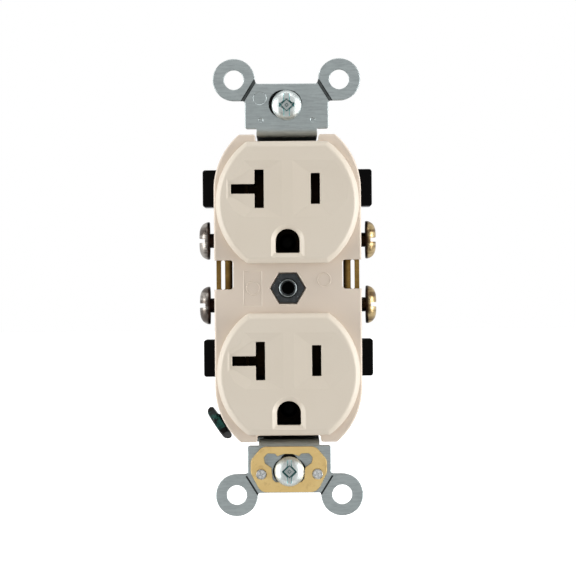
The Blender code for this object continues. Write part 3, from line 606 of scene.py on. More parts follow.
class Finish:
    """A procedural material around one Principled shader, in the piece's own coordinates."""

    def __init__(self, name, colour, roughness, metallic=0.0):
        self.material = bpy.data.materials.new(name)
        self.material.use_nodes = True
        self.links = self.material.node_tree.links
        self.shader = self.material.node_tree.nodes["Principled BSDF"]
        self.shader.inputs["Base Color"].default_value = (*colour, 1.0)
        self.shader.inputs["Roughness"].default_value = roughness
        self.shader.inputs["Metallic"].default_value = metallic
        self.material.diffuse_color = (*colour, 1.0)
        self.coords = self.node("ShaderNodeTexCoord").outputs["Object"]

    def node(self, kind, inputs=None, **settings):
        return add_node(self.material.node_tree, kind, inputs, **settings)

    def stretched(self, scale):
        return self.node("ShaderNodeMapping", {"Vector": self.coords, "Scale": scale}).outputs["Vector"]

    def noise(self, scale, detail, rough, where=None):
        return self.node("ShaderNodeTexNoise", {
            "Vector": where or self.coords, "Scale": scale, "Detail": detail, "Roughness": rough,
        }).outputs["Fac"]

    def cells(self, scale):
        return self.node("ShaderNodeTexVoronoi", {"Vector": self.coords, "Scale": scale}).outputs["Color"]

    def remap(self, value, low, high, to_low, to_high):
        return self.node("ShaderNodeMapRange", {
            "Value": value, "From Min": low, "From Max": high, "To Min": to_low, "To Max": to_high,
        }).outputs["Result"]

    def distance_from_middle(self):
        x = self.node("ShaderNodeSeparateXYZ", {0: self.coords}).outputs[0]
        return self.maths("ABSOLUTE", x, 0.0)

    def maths(self, operation, first, second):
        return self.node("ShaderNodeMath", {0: first, 1: second}, operation=operation).outputs[0]

    def blend(self, share, first, second):
        first, second = ((*tone, 1.0) if isinstance(tone, tuple) else tone for tone in (first, second))
        made = self.node("ShaderNodeMix", {0: share, 6: first, 7: second}, data_type="RGBA")
        return made.outputs[2]

    def tint(self, value, low, high, share, first, second):
        """Turns the first tone into the second, up to a share, where a value rises from low to high."""
        return self.blend(self.remap(value, low, high, 0.0, share), first, second)

    def colour(self, socket):
        self.links.new(socket, self.shader.inputs["Base Color"])

    def roughness(self, socket):
        self.links.new(socket, self.shader.inputs["Roughness"])

    def uneven(self, low, high, scale, detail, rough):
        """Roughness that wanders between two values."""
        self.roughness(self.remap(self.noise(scale, detail, rough), 0.3, 0.7, low, high))

    def bump(self, height, depth_mm, strength=1.0, under=None):
        made = self.node(
            "ShaderNodeBump", {"Height": height, "Strength": strength, "Distance": depth_mm * MM})
        if under is not None:
            self.links.new(under, made.inputs["Normal"])
        return made.outputs["Normal"]

    def normal(self, socket):
        self.links.new(socket, self.shader.inputs["Normal"])


def almond_plastic():
    made = Finish("almond_plastic", (0.66, 0.59, 0.49), 0.40)
    cloud = made.noise(55.0, 3.0, 0.55)
    speck = made.noise(1900.0, 2.0, 0.6)
    tone = made.tint(cloud, 0.3, 0.7, 1.0, (0.655, 0.583, 0.482), (0.675, 0.607, 0.510))
    tone = made.tint(speck, 0.60, 0.82, 0.12, tone, (0.50, 0.43, 0.34))
    depth = made.node("ShaderNodeSeparateXYZ", {0: made.coords}).outputs[1]
    tone = made.tint(depth, -0.0052, -0.0044, 0.5, tone, (0.69, 0.575, 0.485))
    made.colour(tone)
    made.uneven(0.34, 0.46, 420.0, 3.0, 0.6)
    grain = made.bump(made.noise(3600.0, 2.0, 0.6), 0.010, 0.35)
    waves = made.bump(made.noise(70.0, 1.0, 0.4), 0.05, 0.10, grain)
    made.normal(waves)
    made.shader.inputs["Specular IOR Level"].default_value = 0.45
    return made.material


def black_plastic():
    made = Finish("black_plastic", (0.003, 0.003, 0.003), 0.45)
    cloud = made.noise(160.0, 3.0, 0.6)
    patches = made.remap(cloud, 0.3, 0.7, 0.0, 1.0)
    made.colour(made.blend(patches, (0.0008, 0.0008, 0.0009), (0.002, 0.002, 0.002)))
    made.shader.inputs["Specular IOR Level"].default_value = 0.05
    made.uneven(0.22, 0.34, 600.0, 3.0, 0.6)
    made.normal(made.bump(made.noise(2600.0, 3.0, 0.6), 0.010, 0.25))
    return made.material


def galvanised_steel():
    made = Finish("galvanised_steel", (0.40, 0.42, 0.44), 0.42, 1.0)
    flakes = made.cells(430.0)
    flake_grey = made.node("ShaderNodeRGBToBW", {"Color": flakes}).outputs["Val"]
    cloud = made.noise(130.0, 4.0, 0.6)
    rolled = made.noise(2900.0, 5.0, 0.75, made.stretched((0.12, 1.0, 1.0)))
    tone = made.tint(cloud, 0.28, 0.72, 1.0, (0.41, 0.465, 0.465), (0.49, 0.545, 0.545))
    tone = made.tint(flake_grey, 0.2, 0.8, 0.18, tone, (0.50, 0.53, 0.54))
    tone = made.tint(rolled, 0.42, 0.62, 0.42, tone, (0.25, 0.28, 0.29))
    made.colour(tone)
    made.roughness(made.maths(
        "ADD", made.remap(cloud, 0.3, 0.7, 0.36, 0.48), made.remap(flake_grey, 0.2, 0.8, -0.04, 0.05)))
    ripple = made.bump(rolled, 0.010, 0.5)
    made.normal(made.bump(made.noise(1500.0, 3.0, 0.6), 0.012, 0.30, ripple))
    return made.material


def dark_steel():
    made = Finish("dark_steel", (0.10, 0.105, 0.11), 0.40, 1.0)
    cloud = made.noise(700.0, 4.0, 0.65)
    specks = made.noise(2100.0, 2.0, 0.5)
    tone = made.tint(cloud, 0.3, 0.7, 1.0, (0.042, 0.046, 0.048), (0.078, 0.084, 0.088))
    tone = made.tint(specks, 0.66, 0.76, 0.9, tone, (0.42, 0.45, 0.47))
    bore = made.node("ShaderNodeVectorMath", {
        0: made.stretched((1.0, 0.0, 1.0))}, operation="LENGTH").outputs["Value"]
    # Painted highlight: a lighter steel ring on the tube's flared rim.
    lip_painted_highlight = made.maths(
        "MULTIPLY", made.remap(bore, 0.00200, 0.00206, 1.0, 0.0),
        made.remap(bore, 0.00168, 0.00184, 0.0, 1.0))
    tone = made.blend(lip_painted_highlight, tone, (0.34, 0.38, 0.39))
    # Painted shade: the bore's wall turns near-black further back from the front.
    depth = made.node("ShaderNodeSeparateXYZ", {0: made.coords}).outputs[1]
    bore_painted_shade = made.maths(
        "MULTIPLY", made.remap(bore, 0.00158, 0.00166, 1.0, 0.0),
        made.remap(depth, -0.0042, -0.0036, 0.0, 0.997))
    made.colour(made.blend(bore_painted_shade, tone, (0.002, 0.002, 0.002)))
    made.roughness(made.remap(cloud, 0.3, 0.7, 0.32, 0.50))
    made.normal(made.bump(made.noise(1500.0, 3.0, 0.6), 0.02, 0.5))
    return made.material


def stamped_brass(name, light, dark, stain, inner_painted_shade=False):
    made = Finish(name, light, 0.34, 1.0)
    cloud = made.noise(210.0, 4.0, 0.62)
    brushed = made.noise(1300.0, 3.0, 0.6, made.stretched((0.25, 0.25, 1.0)))
    tone = made.tint(cloud, 0.3, 0.7, 1.0, dark, light)
    tone = made.tint(brushed, 0.55, 0.75, 0.4, tone, light)
    tone = made.tint(made.noise(330.0, 5.0, 0.7), 0.57, 0.72, 0.75, tone, stain)
    if inner_painted_shade:
        # Painted shade: brass closer to the middle than the side windows turns almost black.
        shade = made.remap(made.distance_from_middle(), 0.0131, 0.0138, 0.97, 0.0)
        tone = made.blend(shade, tone, (0.012, 0.007, 0.004))
    made.colour(tone)
    made.roughness(made.remap(brushed, 0.3, 0.7, 0.26, 0.44))
    made.normal(made.bump(brushed, 0.012, 0.5))
    return made.material


def plated(name, light, dark, roughness, stain, stain_share=0.6, painted_neck_shade=False):
    """Plated finish: soft patches and darker stains; on a terminal screw, stain bands and a painted
    brown-black shade on the neck and the head's underside.
    """
    made = Finish(name, light, roughness, 1.0)
    cloud = made.noise(420.0, 4.0, 0.6)
    tone = made.tint(cloud, 0.3, 0.7, 1.0, dark, light)
    tone = made.tint(made.noise(640.0, 5.0, 0.7), 0.58, 0.76, stain_share, tone, stain)
    if painted_neck_shade:
        away = made.distance_from_middle()
        bands = made.noise(520.0, 2.0, 0.5, made.stretched((0.15, 0.15, 1.0)))
        tone = made.tint(bands, 0.45, 0.56, 0.8, tone, stain)
        # Painted shade: near-black brown on the neck and under the head's rim.
        tone = made.blend(made.remap(away, NECK_END, RIM_END, 0.97, 0.0), tone, (0.020, 0.009, 0.006))
    made.colour(tone)
    made.uneven(roughness - 0.06, roughness + 0.10, 900.0, 3.0, 0.6)
    made.normal(made.bump(made.noise(1700.0, 3.0, 0.6), 0.008, 0.30))
    return made.material


def green_plating():
    made = Finish("green_plating", (0.004, 0.02, 0.016), 0.24, 0.6)
    cloud = made.noise(620.0, 4.0, 0.6)
    tone = made.tint(cloud, 0.46, 0.62, 1.0, (0.002, 0.006, 0.005), (0.010, 0.085, 0.068))
    made.colour(tone)
    made.uneven(0.2, 0.36, 800.0, 3.0, 0.6)
    made.normal(made.bump(made.noise(1500.0, 3.0, 0.6), 0.015, 0.5))
    return made.material


def black_fibre():
    made = Finish("black_fibre", (0.014, 0.014, 0.015), 0.85)
    weave = made.noise(2400.0, 4.0, 0.7, made.stretched((1.0, 1.0, 0.3)))
    threads = made.remap(weave, 0.35, 0.7, 0.0, 1.0)
    made.colour(made.blend(threads, (0.008, 0.008, 0.009), (0.030, 0.029, 0.028)))
    made.normal(made.bump(weave, 0.03, 0.6))
    return made.material


ALMOND = almond_plastic()
BLACK = black_plastic()
STEEL = galvanised_steel()
DARK_STEEL = dark_steel()
# The bus brass carries painted shade towards the middle.
BRASS = stamped_brass(
    "stamped_brass", (0.31, 0.20, 0.060), (0.13, 0.072, 0.020), (0.035, 0.016, 0.006), True)
# Brass darkened nearly to black as painted shade, for the ground springs deep behind the ground holes.
BRASS_PAINTED_SHADE = stamped_brass(
    "brass_painted_shade", (0.012, 0.008, 0.005), (0.007, 0.005, 0.004), (0.004, 0.003, 0.002))
CLIP_BRASS = stamped_brass("clip_brass", (0.92, 0.68, 0.30), (0.84, 0.60, 0.25), (0.62, 0.42, 0.17))
# The terminal screw finishes carry painted shade on the neck.
BRASS_PLATE = plated(
    "brass_plate", (0.62, 0.48, 0.26), (0.44, 0.32, 0.15), 0.36, (0.10, 0.05, 0.02), 0.6, True)
NICKEL_PLATE = plated(
    "nickel_plate", (0.50, 0.47, 0.43), (0.34, 0.31, 0.28), 0.36, (0.07, 0.05, 0.04), 0.6, True)
ZINC_PLATE = plated("zinc_plate", (0.74, 0.78, 0.77), (0.60, 0.65, 0.64), 0.48, (0.36, 0.43, 0.42), 0.35)
RIVET_PLATE = plated("rivet_plate", (0.84, 0.85, 0.84), (0.66, 0.68, 0.68), 0.28, (0.34, 0.33, 0.31), 0.35)
# Near-black plating as painted shade, for the body rivets at the bottom of the ground holes and the ends of
# the ground screw's head.
RIVET_PAINTED_SHADE = plated("rivet_painted_shade", (0.020, 0.019, 0.018), (0.010, 0.010, 0.010), 0.42, (0.004, 0.004, 0.004))
# Dark teal as a painted reflection on the recess walls and slot sides of the mounting screws.
RECESS_PAINTED_REFLECTION = plated("recess_painted_reflection", (0.16, 0.38, 0.38), (0.07, 0.24, 0.24), 0.34, (0.03, 0.10, 0.10))
# Darker steel as painted shade for the grooves in the strap's ears.
GROOVE_PAINTED_SHADE = plated("groove_painted_shade", (0.15, 0.165, 0.165), (0.08, 0.09, 0.09), 0.45, (0.03, 0.03, 0.03))
GREEN = green_plating()
FIBRE = black_fibre()


# ---------------------------------------------------------------- plastic case

class Outlet:
    """One of the two outlets: the heights of its middle, blades, ground hole and terminals."""

    def __init__(self, name, side, terminal):
        self.name = name
        self.centre = side * OUTLET_PITCH / 2
        self.blade_z = self.centre + BLADE_RISE
        self.ground_z = self.centre - GROUND_DROP
        self.terminal = terminal


OUTLETS = (Outlet("upper", 1, UPPER_TERMINAL_Z), Outlet("lower", -1, LOWER_TERMINAL_Z))


def case_outline(half_w, half_l, radius, notch_half, notch_end):
    side = math.degrees(math.acos(min(1.0, (half_w - CORNER_X) / radius)))
    top = math.degrees(math.asin((half_l - CORNER_Z) / radius))
    upper_right = arc(CORNER_X, CORNER_Z, radius, side, top, 28)
    upper_right += [(notch_half, half_l), (notch_half, notch_end)]
    upper = upper_right + mirrored_u(upper_right)
    return upper + [(-u, -v) for u, v in upper]


def face_outline(centre_z, inset, fillet):
    radius = FACE_R - inset
    half = math.degrees(math.asin((FACE_HALF_H - inset) / radius))
    right = arc(-FACE_OFFSET, centre_z, radius, -half, half, 44)
    left = arc(FACE_OFFSET, centre_z, radius, 180.0 - half, 180.0 + half, 44)
    return filleted(right + left, fillet, 6)


def ground_outline(centre_z, grow):
    outline = arc(0.0, centre_z - GROUND_DROP, GROUND_R + grow, 0.0, 180.0, 32)
    low = centre_z - GROUND_FLAT_DROP - grow
    return filleted(outline + [(-GROUND_R - grow, low), (GROUND_R + grow, low)], 0.35, 4)


def neutral_slot_outline(blade_z):
    right = -BLADE_X + SLOT_W / 2
    left = -BLADE_X - SLOT_W / 2
    high = NEUTRAL_SLOT_H / 2
    bar = NEUTRAL_BAR_H / 2
    points = [
        (right, -high), (right, high), (left, high), (left, bar),
        (-NEUTRAL_BAR_END, bar), (-NEUTRAL_BAR_END, -bar), (left, -bar), (left, -high),
    ]
    return Rounded([(x, blade_z + z) for x, z in points], 0.14, 3)


def dish_sections(side, blade_z):
    rim = [(1.2, -6.4), (9.7, -6.4), (13.7, -2.3), (13.7, 2.3), (10.6, 6.4), (1.2, 6.4)]
    if side > 0:
        floor = [(4.7, -3.8), (7.6, -3.8), (8.6, -2.9), (8.6, 2.9), (7.8, 3.8), (4.7, 3.8)]
    else:
        rim = [(1.2, -6.4), (9.7, -6.4), (13.7, -2.3), (13.7, 2.3), (9.7, 6.4), (1.2, 6.4)]
        floor = [(4.6, -4.6), (7.9, -4.6), (13.1, -1.5), (13.1, 1.5), (7.9, 4.6), (4.6, 4.6)]
    above = 0.4
    top = []
    for (rim_x, rim_z), (floor_x, floor_z) in zip(rim, floor):
        share = above / DISH_DEPTH
        top.append((rim_x + (rim_x - floor_x) * share, rim_z + (rim_z - floor_z) * share))

    def shifted(outline):
        return [(side * x, blade_z + z) for x, z in outline]

    return [(FACE_FRONT - above, shifted(top)), (FACE_FRONT + DISH_DEPTH, shifted(floor))]


def face_cover():
    outline = Rounded(case_outline(COVER_HALF_W, COVER_HALF_L, CORNER_R, NOTCH_HALF_W, NOTCH_END), 0.5, 5)
    cover = slab("cover", "Y", outline, COVER_FRONT, COVER_BACK, 0.45, 0.2, 5)
    bevel = (
        (COVER_FRONT + 0.9, 0.0), (COVER_FRONT, 0.0), (-6.30, 0.05), (-6.48, 0.08), (-6.62, 0.15),
        (-6.72, 0.24), (-7.26, 0.78), (-7.38, 0.91), (-7.48, 1.06), (-7.56, 1.24), (FACE_FRONT, 1.48),
    )
    for outlet in OUTLETS:
        fuse(cover, lofts("face", "Y", [[
            (level, face_outline(outlet.centre, inset, max(0.3, 1.7 - inset))) for level, inset in bevel]]))
    hollows = []
    for outlet in OUTLETS:
        inner = face_outline(outlet.centre, COVER_WALL, 0.5)
        hollows.append(straight(inner, FACE_FRONT + COVER_WALL, COVER_BACK + 1.0))
    for side in (-1, 1):
        pocket = box_outline(side * 8.0 - 3.2, -5.3, side * 8.0 + 3.2, 5.3)
        hollows.append(straight(pocket, COVER_FRONT + COVER_WALL, COVER_BACK + 1.0))
    cut(cover, hollows)
    cut(cover, [
        dish_sections(side, outlet.blade_z) for outlet in OUTLETS for side in (-1, 1)])
    slots = []
    for outlet in OUTLETS:
        hot = Rounded(box_outline(
            BLADE_X - SLOT_W / 2, outlet.blade_z - HOT_SLOT_H / 2,
            BLADE_X + SLOT_W / 2, outlet.blade_z + HOT_SLOT_H / 2), 0.14, 3)
        for opening in (hot, neutral_slot_outline(outlet.blade_z)):
            slots.append(flared_sections(
                opening, FACE_FRONT + DISH_DEPTH, FACE_FRONT + COVER_WALL, 0.16, 0.02, 3))
        slots.append([
            (FACE_FRONT + depth, ground_outline(outlet.centre, grow)) for depth, grow in (
                (-0.5, 1.25), (-0.06, 1.12), (0.05, 1.00), (0.50, 0.22), (0.66, 0.06), (0.90, 0.0),
                (COVER_WALL + 0.6, 0.0))
        ])
    cut(cover, slots)
    windows = []
    for side in (-1, 1):
        shape = side_box(side, WINDOW_X, WINDOW_LOW, WINDOW_X + 6.0, WINDOW_HIGH)
        windows.append(flared_sections(Rounded(shape, 0.75, 6), COVER_FRONT, COVER_BACK, 0.22, 0.05, 3))
    cut(cover, windows)
    cut(cover, [[
        (COVER_FRONT - 0.5, hexagon(HEX_RECESS_FLATS + 0.3)),
        (COVER_FRONT, hexagon(HEX_RECESS_FLATS + 0.22)),
        (COVER_FRONT + 0.12, hexagon(HEX_RECESS_FLATS)),
        (COVER_FRONT + HEX_T + GAP + 0.1, hexagon(HEX_RECESS_FLATS)),
    ]])
    bore = circle(0.0, 0.0, POST_HOLE_R, 40)
    label = box_outline(*LABEL_RECESS)
    cut(cover, [
        straight(bore, COVER_FRONT + 0.5, COVER_BACK + 1.0),
        [
            (COVER_FRONT - 0.3, grown(label, 0.16)), (COVER_FRONT - 0.01, grown(label, 0.13)),
            (COVER_FRONT + 0.10, label),
        ],
    ])
    rings = []
    for x, z, depth in FACE_MARKS:
        rings.append(ring_mark(x, z, RING_MARK_R, COVER_FRONT + depth))
    joined(cover, *rings)
    return finish(cover, "outlet_cover", "device", ALMOND, ("face_cover",), corner=34.0)


def ring_mark(x, z, radius, level):
    """Low moulded ring, such as an ejector pin leaves."""
    builder = bmesh.new()
    profile = (
        (radius - 0.20, 0.05), (radius - 0.12, -0.06), (radius, -0.10), (radius + 0.12, -0.06),
        (radius + 0.20, 0.05),
    )
    count = 48
    rings = []
    for step in range(count):
        angle = 2.0 * math.pi * step / count
        rings.append([
            builder.verts.new(Vector((
                x + reach * math.cos(angle), level + depth, z + reach * math.sin(angle))) * MM)
            for reach, depth in profile
        ])
    for near, far in zip(rings, rings[1:] + rings[:1]):
        join_rings(builder, near, far)
    return new_object("ring", builder)


def back_body():
    inset = BODY_INSET
    outline = Rounded(case_outline(
        COVER_HALF_W - inset, BODY_HALF_L, CORNER_R - inset, NOTCH_HALF_W, BODY_HALF_L - 0.3), 0.25, 3)
    body = slab("body", "Y", outline, BODY_FRONT, BODY_BACK, 0.2, 0.8, 5)
    for outlet in OUTLETS:
        middle = outlet.centre + TAB_RISE
        tab = Rounded(box_outline(-TAB_OUT, middle - TAB_H / 2, TAB_OUT, middle + TAB_H / 2), 0.6, 5)
        add_slab(body, "Y", tab, BODY_FRONT, TAB_BACK, 0.25, 0.5, 4)
    chambers = []
    for outlet in OUTLETS:
        shape = box_outline(-3.9, outlet.ground_z - 3.6, 3.9, outlet.ground_z + 3.6)
        chambers.append(straight(shape, BODY_FRONT - 1.0, 21.2))
        for side, depth in ((1, 10.4), (-1, 13.1)):
            shape = side_box(side, 4.2, outlet.blade_z - 4.6, depth, outlet.blade_z + 4.6)
            chambers.append(straight(shape, BODY_FRONT - 1.0, CONTACT_FLOOR + GAP))
    cut(body, chambers)
    for side in (-1, 1):
        low = LOWER_TERMINAL_Z - LEG_HALF_H - 0.4
        high = UPPER_TERMINAL_Z + LEG_HALF_H + 0.4
        shape = side_box(side, 8.7, low, 22.0, high)
        notch = side_box(side, WINDOW_X - 0.2, WINDOW_LOW - 0.3, 22.0, WINDOW_HIGH + 0.3)
        upper = side_box(side, 8.7, 14.0, 10.2, 19.5)
        lower = side_box(side, 8.7, -13.5, 10.2, -7.0)
        cut(body, [straight(shape, BODY_FRONT - 1.0, CONTACT_FLOOR + GAP)])
        cut(body, [flared_sections(
            Rounded(notch, 0.5, 4), BODY_FRONT, BODY_BACK, 0.1, 0.3, 3)])
        cut(body, [straight(piece, BODY_FRONT - 1.0, CONTACT_FLOOR + GAP) for piece in (upper, lower)])
    mouths = []
    for outlet in OUTLETS:
        for side in (-1, 1):
            for offset in (-WIRE_HOLE_RISE, WIRE_HOLE_RISE):
                at = (side * WIRE_HOLE_X, outlet.terminal + offset)
                mouths.append([
                    (CONTACT_FLOOR - 2.0, circle(*at, WIRE_HOLE_R, 32)),
                    (BODY_BACK - 1.0, circle(*at, WIRE_HOLE_R, 32)),
                    (BODY_BACK - 0.25, circle(*at, 1.75, 32)), (BODY_BACK, circle(*at, 2.05, 32)),
                    (BODY_BACK + 1.0, circle(*at, 2.05, 32)),
                ])
        hole = circle(0.0, outlet.ground_z, BODY_RIVET_HOLE_R, 24)
        mouths.append(straight(hole, 20.0, BODY_BACK + 1.0))
    mouths.append(straight(circle(0.0, 0.0, POST_HOLE_R, 40), BODY_FRONT - 1.0, BODY_BACK + 1.0))
    cut(body, mouths)
    cut(body, [straight(ground_corner_outline(), BODY_FRONT - 1.0, TAB_REAR + 0.6)])
    gauge = []
    for side in (-1, 1):
        for centre in (-24.6, 24.6):
            shape = Rounded(
                side_box(side, 8.6, centre - 1.0, 14.6 - 0.16 * abs(centre), centre + 1.0), 0.5, 4)
            gauge.append([(BODY_BACK - 0.5, shape.at(-0.15)), (BODY_BACK + 0.6, shape.at(0.15))])
    cut(body, gauge)
    return finish(body, "outlet_body", "device", BLACK, ("back_body",))


def tab_point(across, along):
    direction = (TAB_DIRECTION.x, TAB_DIRECTION.z)
    return (
        GROUND_SCREW_AT[0] + direction[0] * along + direction[1] * across,
        GROUND_SCREW_AT[2] + direction[1] * along - direction[0] * across,
    )


def ground_corner_outline():
    inner = -TAB_DROP - STRAP_T - 0.5
    return [
        tab_point(-12.0, inner), tab_point(-2.6, inner), tab_point(-2.6, inner - 2.6),
        tab_point(2.6, inner - 2.6), tab_point(2.6, inner), tab_point(8.0, inner),
        tab_point(8.0, 8.0), tab_point(-12.0, 8.0),
    ]


# ---------------------------------------------------------------- steel strap

def strap_profile():
    outer_bend = FRONT_BEND + STRAP_T
    bend_z = PLATE_LOW
    upper_inner = [(PLATE_FRONT, bend_z + 2.0)]
    upper_inner += arc(FRONT_BEND, bend_z, outer_bend, 180.0, 270.0, 12)
    upper_inner += arc(REAR_FRONT - REAR_BEND, WALL_IN - REAR_BEND, REAR_BEND, 90.0, 0.0, 8)
    upper_outer = [(0.0, bend_z + 2.0)]
    upper_outer += arc(FRONT_BEND, bend_z, FRONT_BEND, 180.0, 270.0, 8)
    upper_outer += arc(REAR_FRONT - REAR_BEND, WALL_IN - REAR_BEND, REAR_BEND + STRAP_T, 90.0, 0.0, 12)
    inner = upper_inner + mirrored_v(upper_inner)
    outer = upper_outer + mirrored_v(upper_outer)
    return inner + outer[::-1]


def plate_outline(near, ear_z):
    right = [(PLATE_HALF_W, near), (PLATE_HALF_W, ear_z - EAR_R), (EAR_X, ear_z - EAR_R)]
    right += arc(EAR_X, ear_z, EAR_R, -84.0, 180.0, 60)
    right += [(PLATE_TOP_HALF, PLATE_TOP)]
    return right + mirrored_u(right)


def groove_outline(low, high, lead):
    start = Vector((PLATE_HALF_W, PLATE_SHOULDER))
    end = Vector((PLATE_TOP_HALF, PLATE_TOP))
    along = (end - start).normalized()
    outward = Vector((along.y, -along.x))
    start = start - along * lead
    end = end + along * 0.6
    corners = [start + outward * low, start + outward * high, end + outward * high, end + outward * low]
    return [(corner.x, corner.y) for corner in corners]


def stadium(half_length, radius, centre_z):
    reach = half_length - radius
    return arc(reach, centre_z, radius, -90.0, 90.0, 20) + arc(-reach, centre_z, radius, 90.0, 270.0, 20)


def ground_tab_outline():
    outer = -TAB_DROP
    inner = -TAB_DROP - STRAP_T
    return Rounded([
        (-NECK_HALF_W + 1.0, -TAB_ROOT_IN), tab_point_at_height(inner, -TAB_ROOT_IN),
        tab_point(TAB_END, inner),
        tab_point(TAB_END, outer), tab_point_at_height(outer, -TAB_ROOT_OUT),
        (-NECK_HALF_W + 1.0, -TAB_ROOT_OUT),
    ], 0.2, 3)


def tab_point_at_height(along, height):
    start = Vector(tab_point(0.0, along))
    ahead = Vector(tab_point(1.0, along)) - start
    return tuple(start + ahead * ((height - start.y) / ahead.y))


def mounting_strap():
    strap = slab("strap", "X", strap_profile(), -NECK_HALF_W, NECK_HALF_W, 0.16, 0.16, 3)
    lower_plate = mirrored_v(plate_outline(LOWER_PLATE_LOW, LOWER_EAR_Z))
    for outline in (plate_outline(PLATE_LOW, EAR_Z), lower_plate):
        add_slab(strap, "Y", Rounded(outline, 0.55, 4, 30.0), PLATE_FRONT, 0.0, 0.2, 0.1, 4)
    add_slab(strap, "Y", ground_tab_outline(), TAB_FRONT, TAB_REAR, 0.16, 0.16, 3)
    holes = []
    grooves = []
    for flip, ear_z in ((1, EAR_Z), (-1, LOWER_EAR_Z)):
        for side in (1, -1):
            holes.append(flared_sections(
                circle(side * EAR_X, flip * ear_z, EAR_HOLE_R, 48), PLATE_FRONT, 0.0, 0.15, 0.08))
            low, high, lead = (0.15, 0.95, 0.6) if flip > 0 else (0.20, 0.60, 0.0)
            levels = ((PLATE_FRONT - 0.5, 0.04), (PLATE_FRONT, 0.0), (PLATE_FRONT + 0.50, -0.14))
            sections = []
            for level, spread in levels:
                outline = groove_outline(low - spread, high + spread, lead)
                if side < 0:
                    outline = mirrored_u(outline)
                if flip < 0:
                    outline = mirrored_v(outline)
                sections.append((level, outline))
            grooves.append(sections)
    upper_slot = [
        (x - UPPER_SLOT_SHIFT, z + UPPER_SLOT_SHIFT)
        for x, z in stadium(MOUNT_SLOT_HALF, MOUNT_SLOT_R + 0.2, MOUNT_Z)
    ]
    for slot in (upper_slot, stadium(MOUNT_SLOT_HALF, MOUNT_SLOT_R, -MOUNT_Z)):
        holes.append(flared_sections(slot, PLATE_FRONT, 0.0, 0.15, 0.08))
    for side in (1, -1):
        rivet_hole = circle(side * RIVET_X, RIVET_Z, CLIP_RIVET_HOLE_R, 24)
        holes.append(straight(rivet_hole, PLATE_FRONT - 1.0, 1.5))
    holes.append(flared_sections(circle(0.0, 0.0, POST_HOLE_R, 40), REAR_FRONT, REAR_BACK, 0.05, 0.15))
    for outlet in OUTLETS:
        rivet_hole = circle(0.0, outlet.ground_z, BODY_RIVET_HOLE_R, 24)
        holes.append(straight(rivet_hole, REAR_FRONT - 1.0, REAR_BACK + 1.0))
    cut(strap, holes)
    cut(strap, grooves)
    above_head = circle(-0.1, HEAD_GAP_RISE - MOUNT_Z, HEAD_GAP_R, 40)
    cut(strap, [flared_sections(above_head, PLATE_FRONT, 0.0, 0.1, 0.05)])
    carve(strap, turned(
        "thread", [(-8.0, THREAD_8_R + GAP), (-0.5, THREAD_8_R + GAP)], GROUND_SCREW_AT, TAB_DIRECTION, 32))
    dimples = []
    for x, z, radius, depth in STRAP_DENTS:
        dimples.append([
            (PLATE_FRONT - 0.5, circle(x, z, radius + 0.06, 32)), (PLATE_FRONT, circle(x, z, radius, 32)),
            (PLATE_FRONT + depth, circle(x, z, radius - 0.12, 32)),
        ])
    cut(strap, dimples)
    finish(strap, "outlet_strap", "device", STEEL, ("mounting_strap",))
    # Painted shade: the groove faces get the darker steel.
    return paint(strap, GROOVE_PAINTED_SHADE, in_groove)


def in_groove(place, normal):
    along = (Vector((PLATE_TOP_HALF, PLATE_TOP)) - Vector((PLATE_HALF_W, PLATE_SHOULDER))).normalized()
    reach = Vector((abs(place.x), abs(place.z))) - Vector((PLATE_HALF_W, PLATE_SHOULDER))
    outward = reach.dot(Vector((along.y, -along.x)))
    return -0.05 < outward < 1.15 and PLATE_FRONT + 0.06 < place.y < -0.5 and -1.0 < reach.dot(along) < 6.0


# ---------------------------------------------------------------- brass

def bus(name, side):
    def leg_box(low_u, low_v, high_u, high_v):
        return side_box(side, low_u, low_v, high_u, high_v)

    edge = 0.12
    fin = Rounded(leg_box(FIN_IN, WINDOW_LOW - 0.6, FIN_OUT, WINDOW_HIGH + 0.6), 0.2, 3)
    body = slab("bus", "Y", fin, LEG_FRONT, LEG_FRONT + LEG_T, edge, edge, 3)
    contact_out = 12.6 if side < 0 else INNER_LEG
    for outlet in OUTLETS:
        low = outlet.terminal - LEG_HALF_H
        high = outlet.terminal + LEG_HALF_H
        if outlet.terminal < 0.0:
            high = WINDOW_LOW - 0.25
        add_slab(body, "Y", leg_box(
            INNER_LEG - LEG_T, low, OUTER_LEG, high), LEG_FRONT, LEG_FRONT + LEG_T, edge, edge, 2)
        for leg_low, leg_high in ((OUTER_LEG - LEG_T, OUTER_LEG), (INNER_LEG - LEG_T, INNER_LEG)):
            add_slab(body, "Y", leg_box(
                leg_low, low, leg_high, high), LEG_FRONT, LEG_BACK, edge, edge, 2)
        reach = (outlet.terminal, outlet.blade_z + 4.0)
        if outlet.centre < 0.0:
            reach = (outlet.blade_z - 4.0, outlet.terminal)
        add_slab(body, "Y", leg_box(
            INNER_LEG - LEG_T, reach[0], INNER_LEG, reach[1]), 6.5, CONTACT_FLOOR, edge, edge, 2)
        add_slab(body, "Y", leg_box(
            4.6, outlet.blade_z - 4.0, contact_out, outlet.blade_z + 4.0),
            CONTACT_FLOOR - LEG_T, CONTACT_FLOOR, edge, edge, 2)
        for leaf in contact_leaves(side, outlet.blade_z):
            add_slab(body, "Y", leaf, CONTACT_TIP, CONTACT_FLOOR, 0.2, edge, 3)
        carve(body, turned(
            "hole", [(-1.0, THREAD_8_R + GAP), (8.0, THREAD_8_R + GAP)],
            (side * OUTER_LEG, TERMINAL_Y, outlet.terminal), (-side, 0.0, 0.0), 32))
    slot = Rounded(leg_box(FIN_SLOT[0], WINDOW_LOW - 0.02, FIN_SLOT[1], WINDOW_HIGH + 0.02), 0.35, 4)
    cut(body, [flared_sections(slot, LEG_FRONT, LEG_FRONT + LEG_T, 0.1, 0.1, 3)])
    return finish(body, name + "_stamping", "device", BRASS, (name,))


